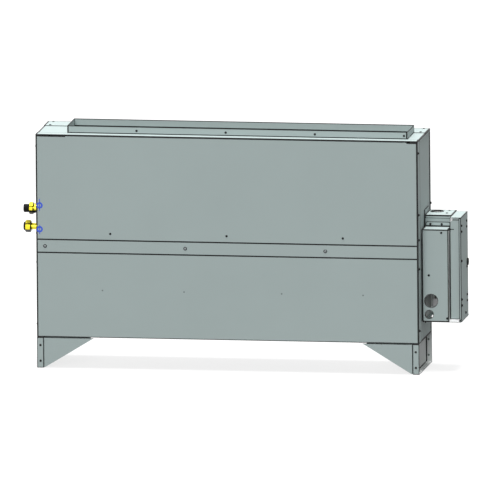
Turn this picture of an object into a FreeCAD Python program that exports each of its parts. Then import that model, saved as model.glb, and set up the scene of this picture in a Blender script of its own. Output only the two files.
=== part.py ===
"""Concealed floor standing air conditioner unit, 1170 mm wide, on two sheet metal legs.

Frame: x to the right seen from the front, y into the depth, z up, millimetres.
The origin is on the floor, in the middle of the four floor fixing holes.
"""
import FreeCAD, Part
import math
import os
import re
import Sketcher

SIZES = {
    # casing
    "body_wide": 1170, "body_deep": 240, "body_high": 620, "leg_high": 95,
    "sheet_thick": 1.2, "lap_gap": 0.25, "seam_gap": 1.2, "bend_radius": 2,
    "upper_panel_high": 322, "joint_rail_high": 40, "rail_lap": 30,
    "front_wrap": 42, "rear_wrap": 14, "side_flange": 22, "top_return": 35,
    "left_slot_wide": 90, "left_slot_high": 3, "right_slot_wide": 34, "right_slot_high": 6,
    "top_cover_start": 160, "top_lip": 9, "frame_flange": 22,
    # screws: small ones in the casing, larger ones along the joint rail
    "screw_head_radius": 3.6, "screw_head_high": 2, "screw_radius": 1.9, "screw_fit": 0.2,
    "front_screw_shift": -2, "front_screw_pitch": 356, "front_screw_rise": 20.5,
    "rail_head_radius": 5, "rail_head_high": 2.2, "rail_screw_edge": 27, "rail_screw_pitch": 429,
    "side_screw_edge": 10, "side_screw_margin": 38, "side_screw_pitch": 189, "panel_screw_rise": 18,
    "rear_screw_edge": 7, "top_screw_edge": 18, "top_screw_inset": 10, "top_screw_pitch": 60,
    # discharge collar on the top
    "collar_left_edge": 92, "collar_right_edge": 37, "collar_front": 37, "collar_deep": 130,
    "collar_rise": 22, "collar_foot": 10, "collar_hole_rise": 9.6, "collar_hole_pitch": 273,
    "collar_hole_end": 10, "collar_hole_radius": 2.2,
    # legs
    "leg_flange": 20.5, "leg_thick": 2, "leg_drop": 2.5, "leg_shelf": 30, "leg_shelf_end": 40,
    "flange_hole_radius": 2.6, "flange_hole_low": 21, "flange_hole_pitch": 48,
    "foot_hole_edge": 11.5, "foot_hole_end": 41, "foot_hole_radius": 3.5,
    "gusset_wide": 153, "gusset_thick": 1.6, "gusset_flange": 16,
    "leg_bolt_radius": 3, "leg_bolt_head": 5.5, "leg_bolt_high": 4, "leg_bolt_long": 6, "leg_bolt_pitch": 70,
    # air inlet and filter in the bottom
    "inlet_rim": 10, "base_flange": 20,
    "filter_wide": 800, "filter_deep": 180, "filter_front": 45, "filter_thick": 6.5,
    "filter_gap": 0.4, "filter_border": 9, "filter_rib": 5, "mesh_thick": 0.8,
    "runner_thick": 0.8, "runner_lip": 8, "runner_foot": 15,
    # fan section
    "deck_rise": 250, "deck_flange": 42, "deck_side_flange": 20,
    "fan_middle": 16, "fan_offset": 274, "fan_back": 100, "fan_rise": 118,
    "wheel_radius": 78, "wheel_gap": 11, "blade_inner_radius": 64, "blade_thick": 1.4,
    "blade_sweep": 6, "blades": 24, "end_ring_thick": 3, "end_ring_wide": 17,
    "hub_disc_thick": 3, "hub_radius": 16, "hub_long": 44,
    "shaft_radius": 6, "shaft_fit": 0.05, "shaft_end": 30,
    "housing_wide": 236, "housing_thick": 1, "volute_start": 90, "volute_step": 10,
    "tongue_out": 24, "inlet_radius": 63, "inlet_lip": 5, "inlet_lip_wide": 2, "housing_flange": 12,
    # fan motor
    "motor_radius": 56, "motor_long": 104,
    "boss_radius": 21, "boss_long": 18, "ring_radius": 30, "ring_wide": 12,
    "ring_fit": 0.05, "cradle_thick": 2, "cradle_wide": 90, "cradle_drop": 10,
    # coil and drain
    "coil_deep": 50, "coil_high": 305, "coil_lean": 27.5, "coil_rise": 30,
    "coil_end_gap": 10, "plate_flange": 12, "tube_radius": 4.8, "tube_pitch": 25.4,
    "row_tubes": 12, "circuit_tubes": 4, "pan_front": 22, "pan_deep": 92, "pan_high": 26,
    "pan_left": 48, "pan_right": 26,
    "gas_header_radius": 9.5, "liquid_header_radius": 7, "header_out": 32,
    "drain_radius": 11.5, "drain_wall": 2, "spigot_radius": 13, "spigot_long": 24,
    "drain_low": 66, "drain_edge": 71, "drain_back": 60,
    # pipe connections on the left
    "union_back": 100, "gas_rise": 376, "union_pitch": 55, "union_in": 15, "union_overlap": 23,
    "nut_corner": 18.7, "cap_radius": 12.4, "cap_plug": 3,
    "gas_neck_radius": 13, "gas_nut_out": 23.5, "gas_nut_long": 12.5, "gas_cap_long": 17,
    "liquid_neck_radius": 9.6, "liquid_nut_out": 31.5, "liquid_nut_long": 16.5,
    "liquid_cap_long": 5.3, "gas_pipe_radius": 7.9, "liquid_pipe_radius": 4.8,
    "pipe_hole_fit": 3,
    # control box on the right
    "box_gap": 1, "box_low": 57, "box_high": 319, "box_wide": 120, "box_front": 116,
    "box_back": 212, "lid_front": 60, "lid_wide": 81, "lid_high": 283.5, "lid_flange": 10,
    "lid_big_hole": 20.5, "lid_big_side": 28, "lid_big_rise": 65,
    "lid_small_hole": 13, "lid_small_side": 22, "lid_small_rise": 23.4,
    "lid_screw_left": 21.5, "lid_screw_rise": 143, "lid_screw_right": 21.5, "lid_screw_drop": 9.5,
    "lid_tab_high": 15, "lid_tab_inset": 3, "lid_tab_corner": 6, "tab_screw_left": 18.5,
    "tab_screw_right": 29, "surround_left": 5, "surround_right": 10, "surround_top": 18,
    "box_top_screw_side": 18.5, "box_top_screw_inset": 35, "box_top_screw_end": 12,
    "box_top_lip": 10, "box_top_flange": 24, "box_top_over": 2,
    "tray_left": 85, "tray_front": 74, "tray_right": 112, "tray_bevel": 8,
    "side_front": 66, "side_back": 190, "side_low": 8, "side_return": 7,
    "face_screw_front": 6, "face_screw_back": 22, "face_screw_top": 24, "face_screw_step": 18,
    "face_screw_middle": 171, "face_screw_skew": 16, "face_screw_low": 51,
    "face_screw_last_back": 51, "face_screw_last_rise": 18,
    "top_hole_back": 184, "plug_radius": 11, "plug_back": 178, "plug_rise": 168, "plug_high": 4,
    "strap_over": 14, "strap_low": 50, "strap_high": 60, "strap_front": 8, "strap_back": 12,
    "board_side": 10, "board_low": 110, "board_high": 150, "board_thick": 1.6, "board_post": 10,
    "block_side": 12, "block_low": 70, "block_high": 24, "block_deep": 16,
    "capacitor_low": 20, "capacitor_high": 32, "capacitor_wide": 52, "capacitor_deep": 34,
}

doc = FreeCAD.newDocument("ConcealedFloorUnit")
sheet = doc.addObject("Spreadsheet::Sheet", "Dimensions")
for row, (size_name, size_value) in enumerate(SIZES.items(), 1):
    sheet.set("A%d" % row, size_name)
    sheet.set("B%d" % row, str(size_value))
    sheet.setAlias("B%d" % row, size_name)
doc.recompute()

ALIAS = re.compile(r"\b(%s)\b" % "|".join(sorted(SIZES, key=len, reverse=True)))
PLANE_ROLE = {"XY": "XY_Plane", "XZ": "XZ_Plane", "YZ": "YZ_Plane"}
parts = []

# Places that several pieces share
HALF = "(body_wide / 2)"
FRONT = "(-body_deep / 2)"
BACK = "(body_deep / 2)"
TOP = "(leg_high + body_high)"
LAYER = "(sheet_thick + lap_gap)"
RAIL_TOP = f"({TOP} - upper_panel_high)"
RAIL_LOW = f"({RAIL_TOP} - joint_rail_high)"
FRAME_TOP = f"({TOP} - {LAYER})"
CORNER = f"({HALF} - {LAYER} - side_flange - lap_gap)"
DECK = "(leg_high + deck_rise)"
FAN_Y = f"({FRONT} + fan_back)"
FAN_Z = "(leg_high + fan_rise)"
COLLAR_LEFT, COLLAR_RIGHT = f"({HALF} - collar_left_edge)", f"({HALF} - collar_right_edge)"
DRAIN_X = f"({HALF} - drain_edge)"
LIQUID_RISE = "(gas_rise - union_pitch)"
PIPE_FIT = "0.05"
ROUND = 16


def formula(text):
    """The text as an expression in which each size points at its spreadsheet cell."""
    return ALIAS.sub(r"Dimensions.\1", str(text))


def value(text):
    return float(sheet.evalExpression(formula(text)))


def bind(thing, prop, text):
    thing.setExpression(prop, formula(text))


def new_body(label, x="0", y="0", z="0"):
    body = doc.addObject("PartDesign::Body", label)
    body.AllowCompound = True
    for axis, text in (("x", x), ("y", y), ("z", z)):
        bind(body, "Placement.Base." + axis, text)
    parts.append(body)
    return body


def new_sketch(body, plane, start):
    """A sketch on a plane of the body, moved along the plane's axis to start."""
    sketch = body.newObject("Sketcher::SketchObject", "Outline")
    origin = [item for item in body.Origin.OriginFeatures if item.Role == PLANE_ROLE[plane]]
    sketch.AttachmentSupport = [(origin[0], "")]
    sketch.MapMode = "FlatFace"
    bind(sketch, "AttachmentOffset.Base.z", f"-({start})" if plane == "XZ" else start)
    return sketch


def rect(left, right, low, high):
    return [(left, low), (right, low), (right, high), (left, high)]


def circle(x, y, radius):
    return {"x": x, "y": y, "radius": radius}


def polygon(x, y, corner_radius, sides):
    """Corners at one radius, the first one straight up."""
    turns = [360 * k / sides for k in range(sides)]
    return [(f"{x} + ({corner_radius}) * sin({turn})", f"{y} + ({corner_radius}) * cos({turn})")
            for turn in turns]


def flip(loop):
    """The loop on the other side, with x reversed."""
    return [(f"-({point[0]})", point[1]) + tuple(point[2:3]) + tuple(-turn for turn in point[3:])
            for point in loop]


def swap(loop):
    """The loop with x and y exchanged."""
    return [(point[1], point[0]) + tuple(point[2:3]) + tuple(-turn for turn in point[3:])
            for point in loop]


def channel(left, right, web, open_end, turn, thick="sheet_thick"):
    """A folded sheet seen from its end: a web with an arm bent at each side.

    turn is 1 where the arms point up from the web and -1 where they point down. The folds are
    round outside and sharp inside. A point with four items starts an arc: its radius, and 1
    for anticlockwise.
    """
    out = "bend_radius" if thick == "sheet_thick" else f"(bend_radius + {thick})"
    edge, inner = f"{web} + {turn} * {out}", f"{web} + {turn} * {thick}"
    return [
        (left, open_end), (left, edge, out, turn), (f"{left} + {out}", web),
        (f"{right} - {out}", web, out, turn), (right, edge), (right, open_end),
        (f"{right} - {thick}", open_end), (f"{right} - {thick}", inner),
        (f"{left} + {thick}", inner), (f"{left} + {thick}", open_end)]


class Outline:
    """The lines, arcs and circles of one sketch, and the expressions that hold them."""

    def __init__(self):
        self.shapes, self.rules, self.texts = [], [], []

    def add(self, shape):
        self.shapes.append(shape)
        return len(self.shapes) - 1

    def hold(self, text, *rule):
        """A dimension that follows an expression."""
        self.texts.append((len(self.rules), text))
        self.rules.append(Sketcher.Constraint(*rule))

    def hold_point(self, shape, point, place):
        spot = spot_of(place)
        self.hold(place[0], "DistanceX", -1, 1, shape, point, spot.x)
        self.hold(place[1], "DistanceY", -1, 1, shape, point, spot.y)

    def join(self, first, second):
        """Make the end of one line or arc meet the start of the next."""
        self.rules.append(Sketcher.Constraint("Coincident", first[0], first[2], second[0], second[1]))

    def circle(self, ring):
        radius = value(ring["radius"])
        place = (ring["x"], ring["y"])
        shape = self.add(Part.Circle(spot_of(place), FreeCAD.Vector(0, 0, 1), radius))
        self.hold(ring["radius"], "Radius", shape, radius)
        self.hold_point(shape, 3, place)

    def side(self, point, following):
        """The line or arc from one corner to the next, with the numbers of its two ends."""
        here, there = spot_of(point), spot_of(following)
        if len(point) == 2:
            return self.add(Part.LineSegment(here, there)), 1, 2
        radius, turn = value(point[2]), point[3]
        chord = there - here
        rise = radius - math.sqrt(max(radius ** 2 - chord.Length ** 2 / 4, 0))
        outward = chord.cross(FreeCAD.Vector(0, 0, turn)).normalize()
        middle = (here + there) / 2 + outward * rise
        shape = self.add(Part.Arc(here, middle, there) if turn > 0 else Part.Arc(there, middle, here))
        self.hold(point[2], "Radius", shape, radius)
        return (shape, 1, 2) if turn > 0 else (shape, 2, 1)

    def loop(self, points):
        sides = [self.side(point, points[(index + 1) % len(points)]) for index, point in enumerate(points)]
        for index, side in enumerate(sides):
            self.join(side, sides[(index + 1) % len(sides)])
            self.hold_point(side[0], side[1], points[index])

    def path(self, points):
        """An open line through points."""
        sides = [self.side(point, following) for point, following in zip(points, points[1:])]
        for index, side in enumerate(sides):
            self.hold_point(side[0], side[1], points[index])
            if index:
                self.join(sides[index - 1], side)
        self.hold_point(sides[-1][0], sides[-1][2], points[-1])

    def put(self, sketch):
        """Everything goes in at once, because the sketch is solved after each addition."""
        sketch.addGeometry(self.shapes, False)
        sketch.addConstraint(self.rules)
        for index, text in self.texts:
            bind(sketch, f"Constraints[{index}]", text)


def spot_of(place):
    return FreeCAD.Vector(value(place[0]), value(place[1]), 0)


def draw(sketch, *loops):
    outline = Outline()
    for item in loops:
        if isinstance(item, dict):
            outline.circle(item)
        else:
            outline.loop(item)
    outline.put(sketch)


def extrude(body, plane, start, end, *loops, cut=False):
    """Pad, or pocket, the loops from start to end along the plane's axis."""
    sketch = new_sketch(body, plane, start)
    draw(sketch, *loops)
    before = body.Shape.Volume if cut else 0
    feature = body.newObject("PartDesign::Pocket" if cut else "PartDesign::Pad", "Step")
    feature.Profile = sketch
    bind(feature, "Length", f"({end}) - ({start})")
    feature.Reversed = (plane == "XZ") != cut
    doc.recompute()
    if cut and body.Shape.Volume > before - 1e-3:
        raise ValueError(f"a cut in {body.Label} removes nothing")
    return feature


def add_screws(body, plane, seat, outward, spots, long, head=None, head_high=None):
    """Screws with their heads on the face at seat; outward is 1 or -1 along the axis."""
    head = head or "screw_head_radius"
    head_high = head_high or "screw_head_high"
    heads, shanks = hexagons(spots, head), hexagons(spots, "screw_radius")
    if outward > 0:
        extrude(body, plane, seat, f"{seat} + {head_high}", *heads)
        extrude(body, plane, f"{seat} - {long}", seat, *shanks)
    else:
        extrude(body, plane, f"{seat} - {head_high}", seat, *heads)
        extrude(body, plane, seat, f"{seat} + {long}", *shanks)


def holes(spots, radius):
    return [circle(x, y, radius) for x, y in spots]


def hexagons(spots, radius="screw_radius + screw_fit"):
    """Hexagons for the screws and their clearance holes, which have fewer facets than circles."""
    return [polygon(x, y, radius, 6) for x, y in spots]


# Screw places, each written once for the sheets it passes and for the screw itself
FRONT_SCREWS = [(f"front_screw_shift + {k} * front_screw_pitch", f"{RAIL_TOP} + front_screw_rise")
                for k in (-1, 0, 1)]
RAIL_SCREWS = [(f"-{HALF} + rail_screw_edge + {k} * rail_screw_pitch", f"({RAIL_TOP} + {RAIL_LOW}) / 2")
               for k in (0, 1, 2)]
SIDE_STEPS = ("side_screw_margin", "(side_screw_margin + side_screw_pitch)")
UPPER_RISES = [f"{TOP} - {step}" for step in SIDE_STEPS] + [f"{RAIL_TOP} + panel_screw_rise"]
LOWER_RISES = [f"leg_high + {step}" for step in SIDE_STEPS]
UPPER_SIDE_SCREWS = [(f"{FRONT} + side_screw_edge", rise) for rise in UPPER_RISES]
LOWER_SIDE_SCREWS = [(f"{FRONT} + side_screw_edge", rise) for rise in LOWER_RISES]
REAR_SIDE_SCREWS = [(f"{BACK} - rear_screw_edge", rise) for rise in [UPPER_RISES[1]] + LOWER_RISES]
TOP_SCREWS = [(f"{side} * ({HALF} - top_screw_edge)",
               f"{FRONT} + top_cover_start + top_screw_inset + {k} * top_screw_pitch")
              for side in (-1, 1) for k in (0, 1)]
SCREW_LONG = f"(2 * {LAYER} + 1)"


def front_upper_panel():
    body = new_body("front_upper_panel")
    low = f"{RAIL_TOP} + seam_gap / 2"
    extrude(body, "XY", low, TOP, channel(f"-{HALF}", HALF, FRONT, f"{FRONT} + front_wrap", 1))
    edge = f"{TOP} - sheet_thick"
    extrude(body, "XY", edge, TOP,
            rect(f"-{HALF} + bend_radius", f"{HALF} - bend_radius", FRONT, f"{FRONT} + top_return"))
    extrude(body, "XZ", f"{FRONT} - 1", f"{FRONT} + sheet_thick",
            rect(f"-{HALF} + bend_radius", f"-{HALF} + left_slot_wide", f"{edge} - left_slot_high", edge),
            rect(f"{HALF} - right_slot_wide", f"{HALF} - bend_radius",
                 f"{edge} - right_slot_high", edge), cut=True)
    extrude(body, "XZ", f"{FRONT} - 1", f"{FRONT} + sheet_thick", *hexagons(FRONT_SCREWS), cut=True)
    extrude(body, "YZ", f"-{HALF} - 1", f"{HALF} + 1", *hexagons(UPPER_SIDE_SCREWS), cut=True)


def front_lower_panel():
    body = new_body("front_lower_panel")
    extrude(body, "XY", "leg_high", f"{RAIL_LOW} - seam_gap / 2",
            channel(f"-{HALF}", HALF, FRONT, f"{FRONT} + front_wrap", 1))
    extrude(body, "YZ", f"-{HALF} - 1", f"{HALF} + 1", *hexagons(LOWER_SIDE_SCREWS), cut=True)


def front_joint_rail():
    """The strip between the two panels, with a set back edge that each panel laps over."""
    body = new_body("front_joint_rail")
    step, inner = f"{FRONT} + {LAYER}", f"{FRONT} + {LAYER} + sheet_thick"
    extrude(body, "XY", RAIL_LOW, RAIL_TOP,
            channel(f"-{HALF}", HALF, FRONT, f"{FRONT} + front_wrap", 1))
    hat = [
        (step, f"{RAIL_LOW} - rail_lap"), (inner, f"{RAIL_LOW} - rail_lap"),
        (inner, f"{RAIL_LOW} + sheet_thick"), (f"{FRONT} + sheet_thick", f"{RAIL_LOW} + sheet_thick"),
        (f"{FRONT} + sheet_thick", RAIL_LOW), (step, RAIL_LOW)]
    over = [(y, f"{RAIL_LOW} + {RAIL_TOP} - ({z})") for y, z in hat]
    extrude(body, "YZ", f"-{CORNER}", CORNER, hat, over)
    extrude(body, "XZ", f"{FRONT} - 1", f"{FRONT} + 5", *hexagons(FRONT_SCREWS + RAIL_SCREWS), cut=True)


def side_panel(label, flipped):
    body = new_body(label)
    outer = f"({HALF} - {LAYER})"
    plan = swap(channel(f"{FRONT} + {LAYER}", f"{BACK} - {LAYER}", outer, f"{outer} - side_flange", -1))
    extrude(body, "XY", "leg_high", f"{FRAME_TOP} - {LAYER}", flip(plan) if flipped else plan)
    low, high = (f"-{outer} - 1", f"-{outer} + 2") if flipped else (f"{outer} - 2", f"{outer} + 1")
    side_holes = hexagons(UPPER_SIDE_SCREWS + LOWER_SIDE_SCREWS + REAR_SIDE_SCREWS)
    extrude(body, "YZ", low, high, *side_holes, cut=True)
    if flipped:
        extrude(body, "YZ", low, high, *pipe_holes(), cut=True)


def pipe_holes():
    fits = (("gas_rise", "gas_neck_radius"), (LIQUID_RISE, "liquid_neck_radius"))
    return [polygon(f"{FRONT} + union_back", f"leg_high + {rise}", f"{neck} + pipe_hole_fit", ROUND)
            for rise, neck in fits]


def rear_panel():
    body = new_body("rear_panel")
    extrude(body, "XY", "leg_high", f"{TOP} - top_lip - seam_gap",
            channel(f"-{HALF}", HALF, BACK, f"{BACK} - rear_wrap", -1))
    extrude(body, "YZ", f"-{HALF} - 1", f"{HALF} + 1", *hexagons(REAR_SIDE_SCREWS), cut=True)


def collar_plan(grow):
    return rect(f"-{COLLAR_LEFT} - ({grow})", f"{COLLAR_RIGHT} + ({grow})",
                f"{FRONT} + collar_front - ({grow})", f"{FRONT} + collar_front + collar_deep + ({grow})")


def top_frame_plate():
    """The sheet that carries the collar, folded down at the front, the back and the sides."""
    body = new_body("top_frame_plate")
    low = f"{FRAME_TOP} - sheet_thick"
    ear_front, ear_back = f"{FRONT} + front_wrap + seam_gap", f"{FRONT} + top_cover_start - seam_gap"
    near, far = f"{FRONT} + {LAYER}", f"{BACK} - {LAYER}"
    inside = f"({HALF} - {LAYER})"
    plate = [
        (f"-{inside}", near), (inside, near), (inside, ear_front), (HALF, ear_front),
        (HALF, ear_back), (inside, ear_back), (inside, far), (f"-{inside}", far),
        (f"-{inside}", ear_back), (f"-{HALF}", ear_back), (f"-{HALF}", ear_front),
        (f"-{inside}", ear_front)]
    extrude(body, "XY", low, FRAME_TOP, plate, collar_plan("-sheet_thick - collar_foot"))
    for side in (-1, 1):
        ends = sorted((f"{side} * {HALF}", f"{side} * ({HALF} - sheet_thick)"), key=value)
        extrude(body, "XY", f"{TOP} - top_lip", low, rect(ends[0], ends[1], ear_front, ear_back))
    fold = f"{low} - frame_flange"
    extrude(body, "XY", fold, low, rect(f"-{COLLAR_LEFT}", COLLAR_RIGHT, near, f"{near} + sheet_thick"))
    extrude(body, "XY", fold, low, rect(f"-{CORNER}", CORNER, f"{far} - sheet_thick", far))
    extrude(body, "XY", f"{low} - 1", f"{FRAME_TOP} + 1", *hexagons(TOP_SCREWS), cut=True)


def top_rear_cover():
    body = new_body("top_rear_cover")
    start = f"{FRONT} + top_cover_start"
    notch = f"{FRONT} + collar_front + collar_deep + lap_gap"
    plate = [
        (f"-{HALF}", start), (f"-{COLLAR_LEFT} - seam_gap", start), (f"-{COLLAR_LEFT} - seam_gap", notch),
        (f"{COLLAR_RIGHT} + seam_gap", notch), (f"{COLLAR_RIGHT} + seam_gap", start), (HALF, start),
        (HALF, BACK), (f"-{HALF}", BACK)]
    extrude(body, "XY", f"{TOP} - sheet_thick", TOP, plate)
    lip = channel(f"-{HALF}", HALF, BACK, start, -1)
    extrude(body, "XY", f"{TOP} - top_lip", f"{TOP} - sheet_thick", lip)
    extrude(body, "XY", f"{TOP} - 2", f"{TOP} + 1", *hexagons(TOP_SCREWS), cut=True)


def discharge_collar():
    body = new_body("discharge_collar")
    extrude(body, "XY", FRAME_TOP, f"{TOP} + collar_rise", collar_plan("0"), collar_plan("-sheet_thick"))
    extrude(body, "XY", FRAME_TOP, f"{FRAME_TOP} + sheet_thick",
            collar_plan("-sheet_thick / 2"), collar_plan("-sheet_thick - collar_foot"))
    spots = [(f"{COLLAR_RIGHT} - collar_hole_end - {k} * collar_hole_pitch", f"{TOP} + collar_hole_rise")
             for k in range(4)]
    extrude(body, "XZ", f"{FRONT} + collar_front - 1", f"{FRONT} + collar_front + collar_deep + 1",
            *holes(spots, "collar_hole_radius"), cut=True)


def casing_screws():
    body = new_body("casing_screws")
    add_screws(body, "XZ", FRONT, -1, FRONT_SCREWS, SCREW_LONG)
    for side, outward in ((f"-{HALF}", -1), (HALF, 1)):
        spots = UPPER_SIDE_SCREWS + LOWER_SIDE_SCREWS + REAR_SIDE_SCREWS
        add_screws(body, "YZ", side, outward, spots, SCREW_LONG)
    add_screws(body, "XY", TOP, 1, TOP_SCREWS, SCREW_LONG)


def rail_screws():
    body = new_body("rail_screws")
    add_screws(body, "XZ", FRONT, -1, RAIL_SCREWS, f"(3 * {LAYER} + 1)", "rail_head_radius", "rail_head_high")


def base_pan():
    """The bottom of the casing, round the air inlet, folded up along its four sides."""
    body = new_body("base_pan")
    inside = f"({HALF} - 2 * {LAYER})"
    near, far = f"({FRONT} + {LAYER})", f"({BACK} - {LAYER})"
    notch_near, notch_far = f"{near} + {LAYER}", f"{far} - {LAYER}"
    plate = [
        (f"-{CORNER}", near), (CORNER, near), (CORNER, notch_near), (inside, notch_near),
        (inside, notch_far), (CORNER, notch_far), (CORNER, far), (f"-{CORNER}", far),
        (f"-{CORNER}", notch_far), (f"-{inside}", notch_far), (f"-{inside}", notch_near),
        (f"-{CORNER}", notch_near)]
    inlet = rect("-filter_wide / 2 + inlet_rim", "filter_wide / 2 - inlet_rim",
                 f"{FRONT} + filter_front + inlet_rim",
                 f"{FRONT} + filter_front + filter_deep - inlet_rim")
    high = "leg_high + base_flange"
    extrude(body, "XY", "leg_high", "leg_high + sheet_thick", plate, inlet)
    for start, end in ((near, f"{near} + sheet_thick"), (f"{far} - sheet_thick", far)):
        extrude(body, "XY", "leg_high", high, rect(f"-{CORNER}", CORNER, start, end))
    for start, end in ((f"-{inside}", f"-{inside} + sheet_thick"), (f"{inside} - sheet_thick", inside)):
        extrude(body, "XY", "leg_high", high, rect(start, end, notch_near, notch_far))
    extrude(body, "XY", "leg_high - 1", "leg_high + 3", *hexagons(leg_bolt_spots(-1) + leg_bolt_spots(1),
            "leg_bolt_radius + screw_fit"), polygon(f"-{DRAIN_X}", f"{FRONT} + drain_back",
            "spigot_radius + pipe_hole_fit", ROUND), cut=True)


WEB = f"({HALF} - leg_flange)"


def leg_bolt_spots(side):
    return [(f"{side} * ({WEB} - leg_shelf / 2)", f"{k} * leg_bolt_pitch") for k in (-1, 0, 1)]


def leg(label, side):
    """A channel with its web set in from the side and three flanges turned outward."""
    body = new_body(label)
    plan = swap(channel(FRONT, BACK, WEB, HALF, 1, "leg_thick"))
    extrude(body, "XY", "0", "leg_high - leg_drop", plan if side > 0 else flip(plan))
    shelf = [
        (WEB, "leg_high - leg_drop - leg_thick"), (f"{WEB} + leg_thick", "leg_high - leg_drop - leg_thick"),
        (f"{WEB} + leg_thick", "leg_high"), (f"{WEB} - leg_shelf", "leg_high"),
        (f"{WEB} - leg_shelf", "leg_high - leg_thick"), (WEB, "leg_high - leg_thick")]
    extrude(body, "XZ", f"{FRONT} + leg_shelf_end", f"{BACK} - leg_shelf_end",
            shelf if side > 0 else flip(shelf))
    foot = rect(f"{WEB} + leg_thick / 2", HALF, f"{FRONT} + leg_thick / 2", f"{BACK} - leg_thick / 2")
    extrude(body, "XY", "0", "leg_thick", foot if side > 0 else flip(foot))
    foot_x = f"{side} * ({HALF} - foot_hole_edge)"
    extrude(body, "XY", "-1", "leg_thick + 1", circle(foot_x, f"{FRONT} + foot_hole_end", "foot_hole_radius"),
            circle(foot_x, f"{BACK} - foot_hole_end", "foot_hole_radius"), cut=True)
    flange_x = f"{side} * ({HALF} - foot_hole_edge + 1)"
    flange_holes = [(flange_x, "flange_hole_low"), (flange_x, "flange_hole_low + flange_hole_pitch")]
    extrude(body, "XZ", f"{FRONT} - 1", f"{BACK} + 1", *holes(flange_holes, "flange_hole_radius"), cut=True)
    extrude(body, "XY", "leg_high - 4", "leg_high + 1",
            *hexagons(leg_bolt_spots(side), "leg_bolt_radius + screw_fit"), cut=True)


def gusset(label, side):
    body = new_body(label)
    edge, high = f"({WEB} - lap_gap)", "leg_high - leg_drop"
    face = [(edge, "leg_thick"), (edge, high), (f"{edge} - gusset_wide", high), (f"{edge} - 4", "leg_thick")]
    extrude(body, "XZ", FRONT, f"{FRONT} + gusset_thick", face if side > 0 else flip(face))
    fold = rect(f"{edge} - gusset_thick", edge, FRONT, f"{FRONT} + gusset_flange")
    extrude(body, "XY", "leg_thick", high, fold if side > 0 else flip(fold))
    shelf = rect(f"{edge} - gusset_wide + 12", edge, FRONT, f"{FRONT} + gusset_flange")
    extrude(body, "XY", f"{high} - gusset_thick", high, shelf if side > 0 else flip(shelf))


def leg_bolts():
    body = new_body("leg_bolts")
    spots = leg_bolt_spots(-1) + leg_bolt_spots(1)
    low = "leg_high - leg_thick"
    extrude(body, "XY", f"{low} - leg_bolt_high", low, *hexagons(spots, "leg_bolt_head"))
    extrude(body, "XY", low, "leg_high + leg_bolt_long", *hexagons(spots, "leg_bolt_radius"))


def filter_box(grow):
    return rect(f"-filter_wide / 2 + ({grow})", f"filter_wide / 2 - ({grow})",
                f"{FRONT} + filter_front + ({grow})", f"{FRONT} + filter_front + filter_deep - ({grow})")


FILTER_TOP = "(leg_high - filter_gap)"
FILTER_LOW = f"({FILTER_TOP} - filter_thick)"


def filter_frame():
    body = new_body("filter_frame")
    extrude(body, "XY", FILTER_LOW, FILTER_TOP, filter_box("0"), filter_box("filter_border"))
    rib_low, rib_top = FILTER_LOW, f"{FILTER_LOW} + filter_thick / 2"
    for k in (-1, 0, 1):
        middle = f"{k} * filter_wide / 4"
        extrude(body, "XY", rib_low, rib_top,
                rect(f"{middle} - filter_rib / 2", f"{middle} + filter_rib / 2",
                     f"{FRONT} + filter_front + 1", f"{FRONT} + filter_front + filter_deep - 1"))
    middle = f"{FRONT} + filter_front + filter_deep / 2"
    extrude(body, "XY", rib_low, rib_top,
            rect("-filter_wide / 2 + 1", "filter_wide / 2 - 1",
                 f"{middle} - filter_rib / 2", f"{middle} + filter_rib / 2"))


def filter_mesh():
    body = new_body("filter_mesh")
    low = f"{FILTER_LOW} + filter_thick / 2"
    extrude(body, "XY", low, f"{low} + mesh_thick", filter_box("filter_border"))


def filter_runner(label, side):
    """A Z section under the base that the filter's edge slides in."""
    body = new_body(label)
    web, lip = "(filter_wide / 2 + filter_gap)", f"({FILTER_LOW} - filter_gap)"
    section = [
        (web, "leg_high - runner_thick"), (web, lip), (f"{web} - runner_lip", lip),
        (f"{web} - runner_lip", f"{lip} - runner_thick"), (f"{web} + runner_thick", f"{lip} - runner_thick"),
        (f"{web} + runner_thick", "leg_high - runner_thick"),
        (f"{web} + runner_foot", "leg_high - runner_thick"), (f"{web} + runner_foot", "leg_high"),
        (web, "leg_high")]
    extrude(body, "XZ", f"{FRONT} + filter_front", f"{FRONT} + filter_front + filter_deep + filter_gap",
            section if side > 0 else flip(section))


def filter_stop():
    body = new_body("filter_stop")
    start = f"({FRONT} + filter_front + filter_deep + filter_gap)"
    section = [
        (start, f"{FILTER_LOW}"), (f"{start} + runner_thick", f"{FILTER_LOW}"),
        (f"{start} + runner_thick", "leg_high - runner_thick"), (f"{start} + 10", "leg_high - runner_thick"),
        (f"{start} + 10", "leg_high"), (start, "leg_high")]
    extrude(body, "YZ", "-filter_wide / 2", "filter_wide / 2", section)


def fan_centres():
    return [("left", "(fan_middle - fan_offset)"), ("right", "(fan_middle + fan_offset)")]


OUTLET_FRONT = f"({FAN_Y} + tongue_out)"
OUTLET_BACK = f"({FAN_Y} + volute_start + 3 * volute_step)"


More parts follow.
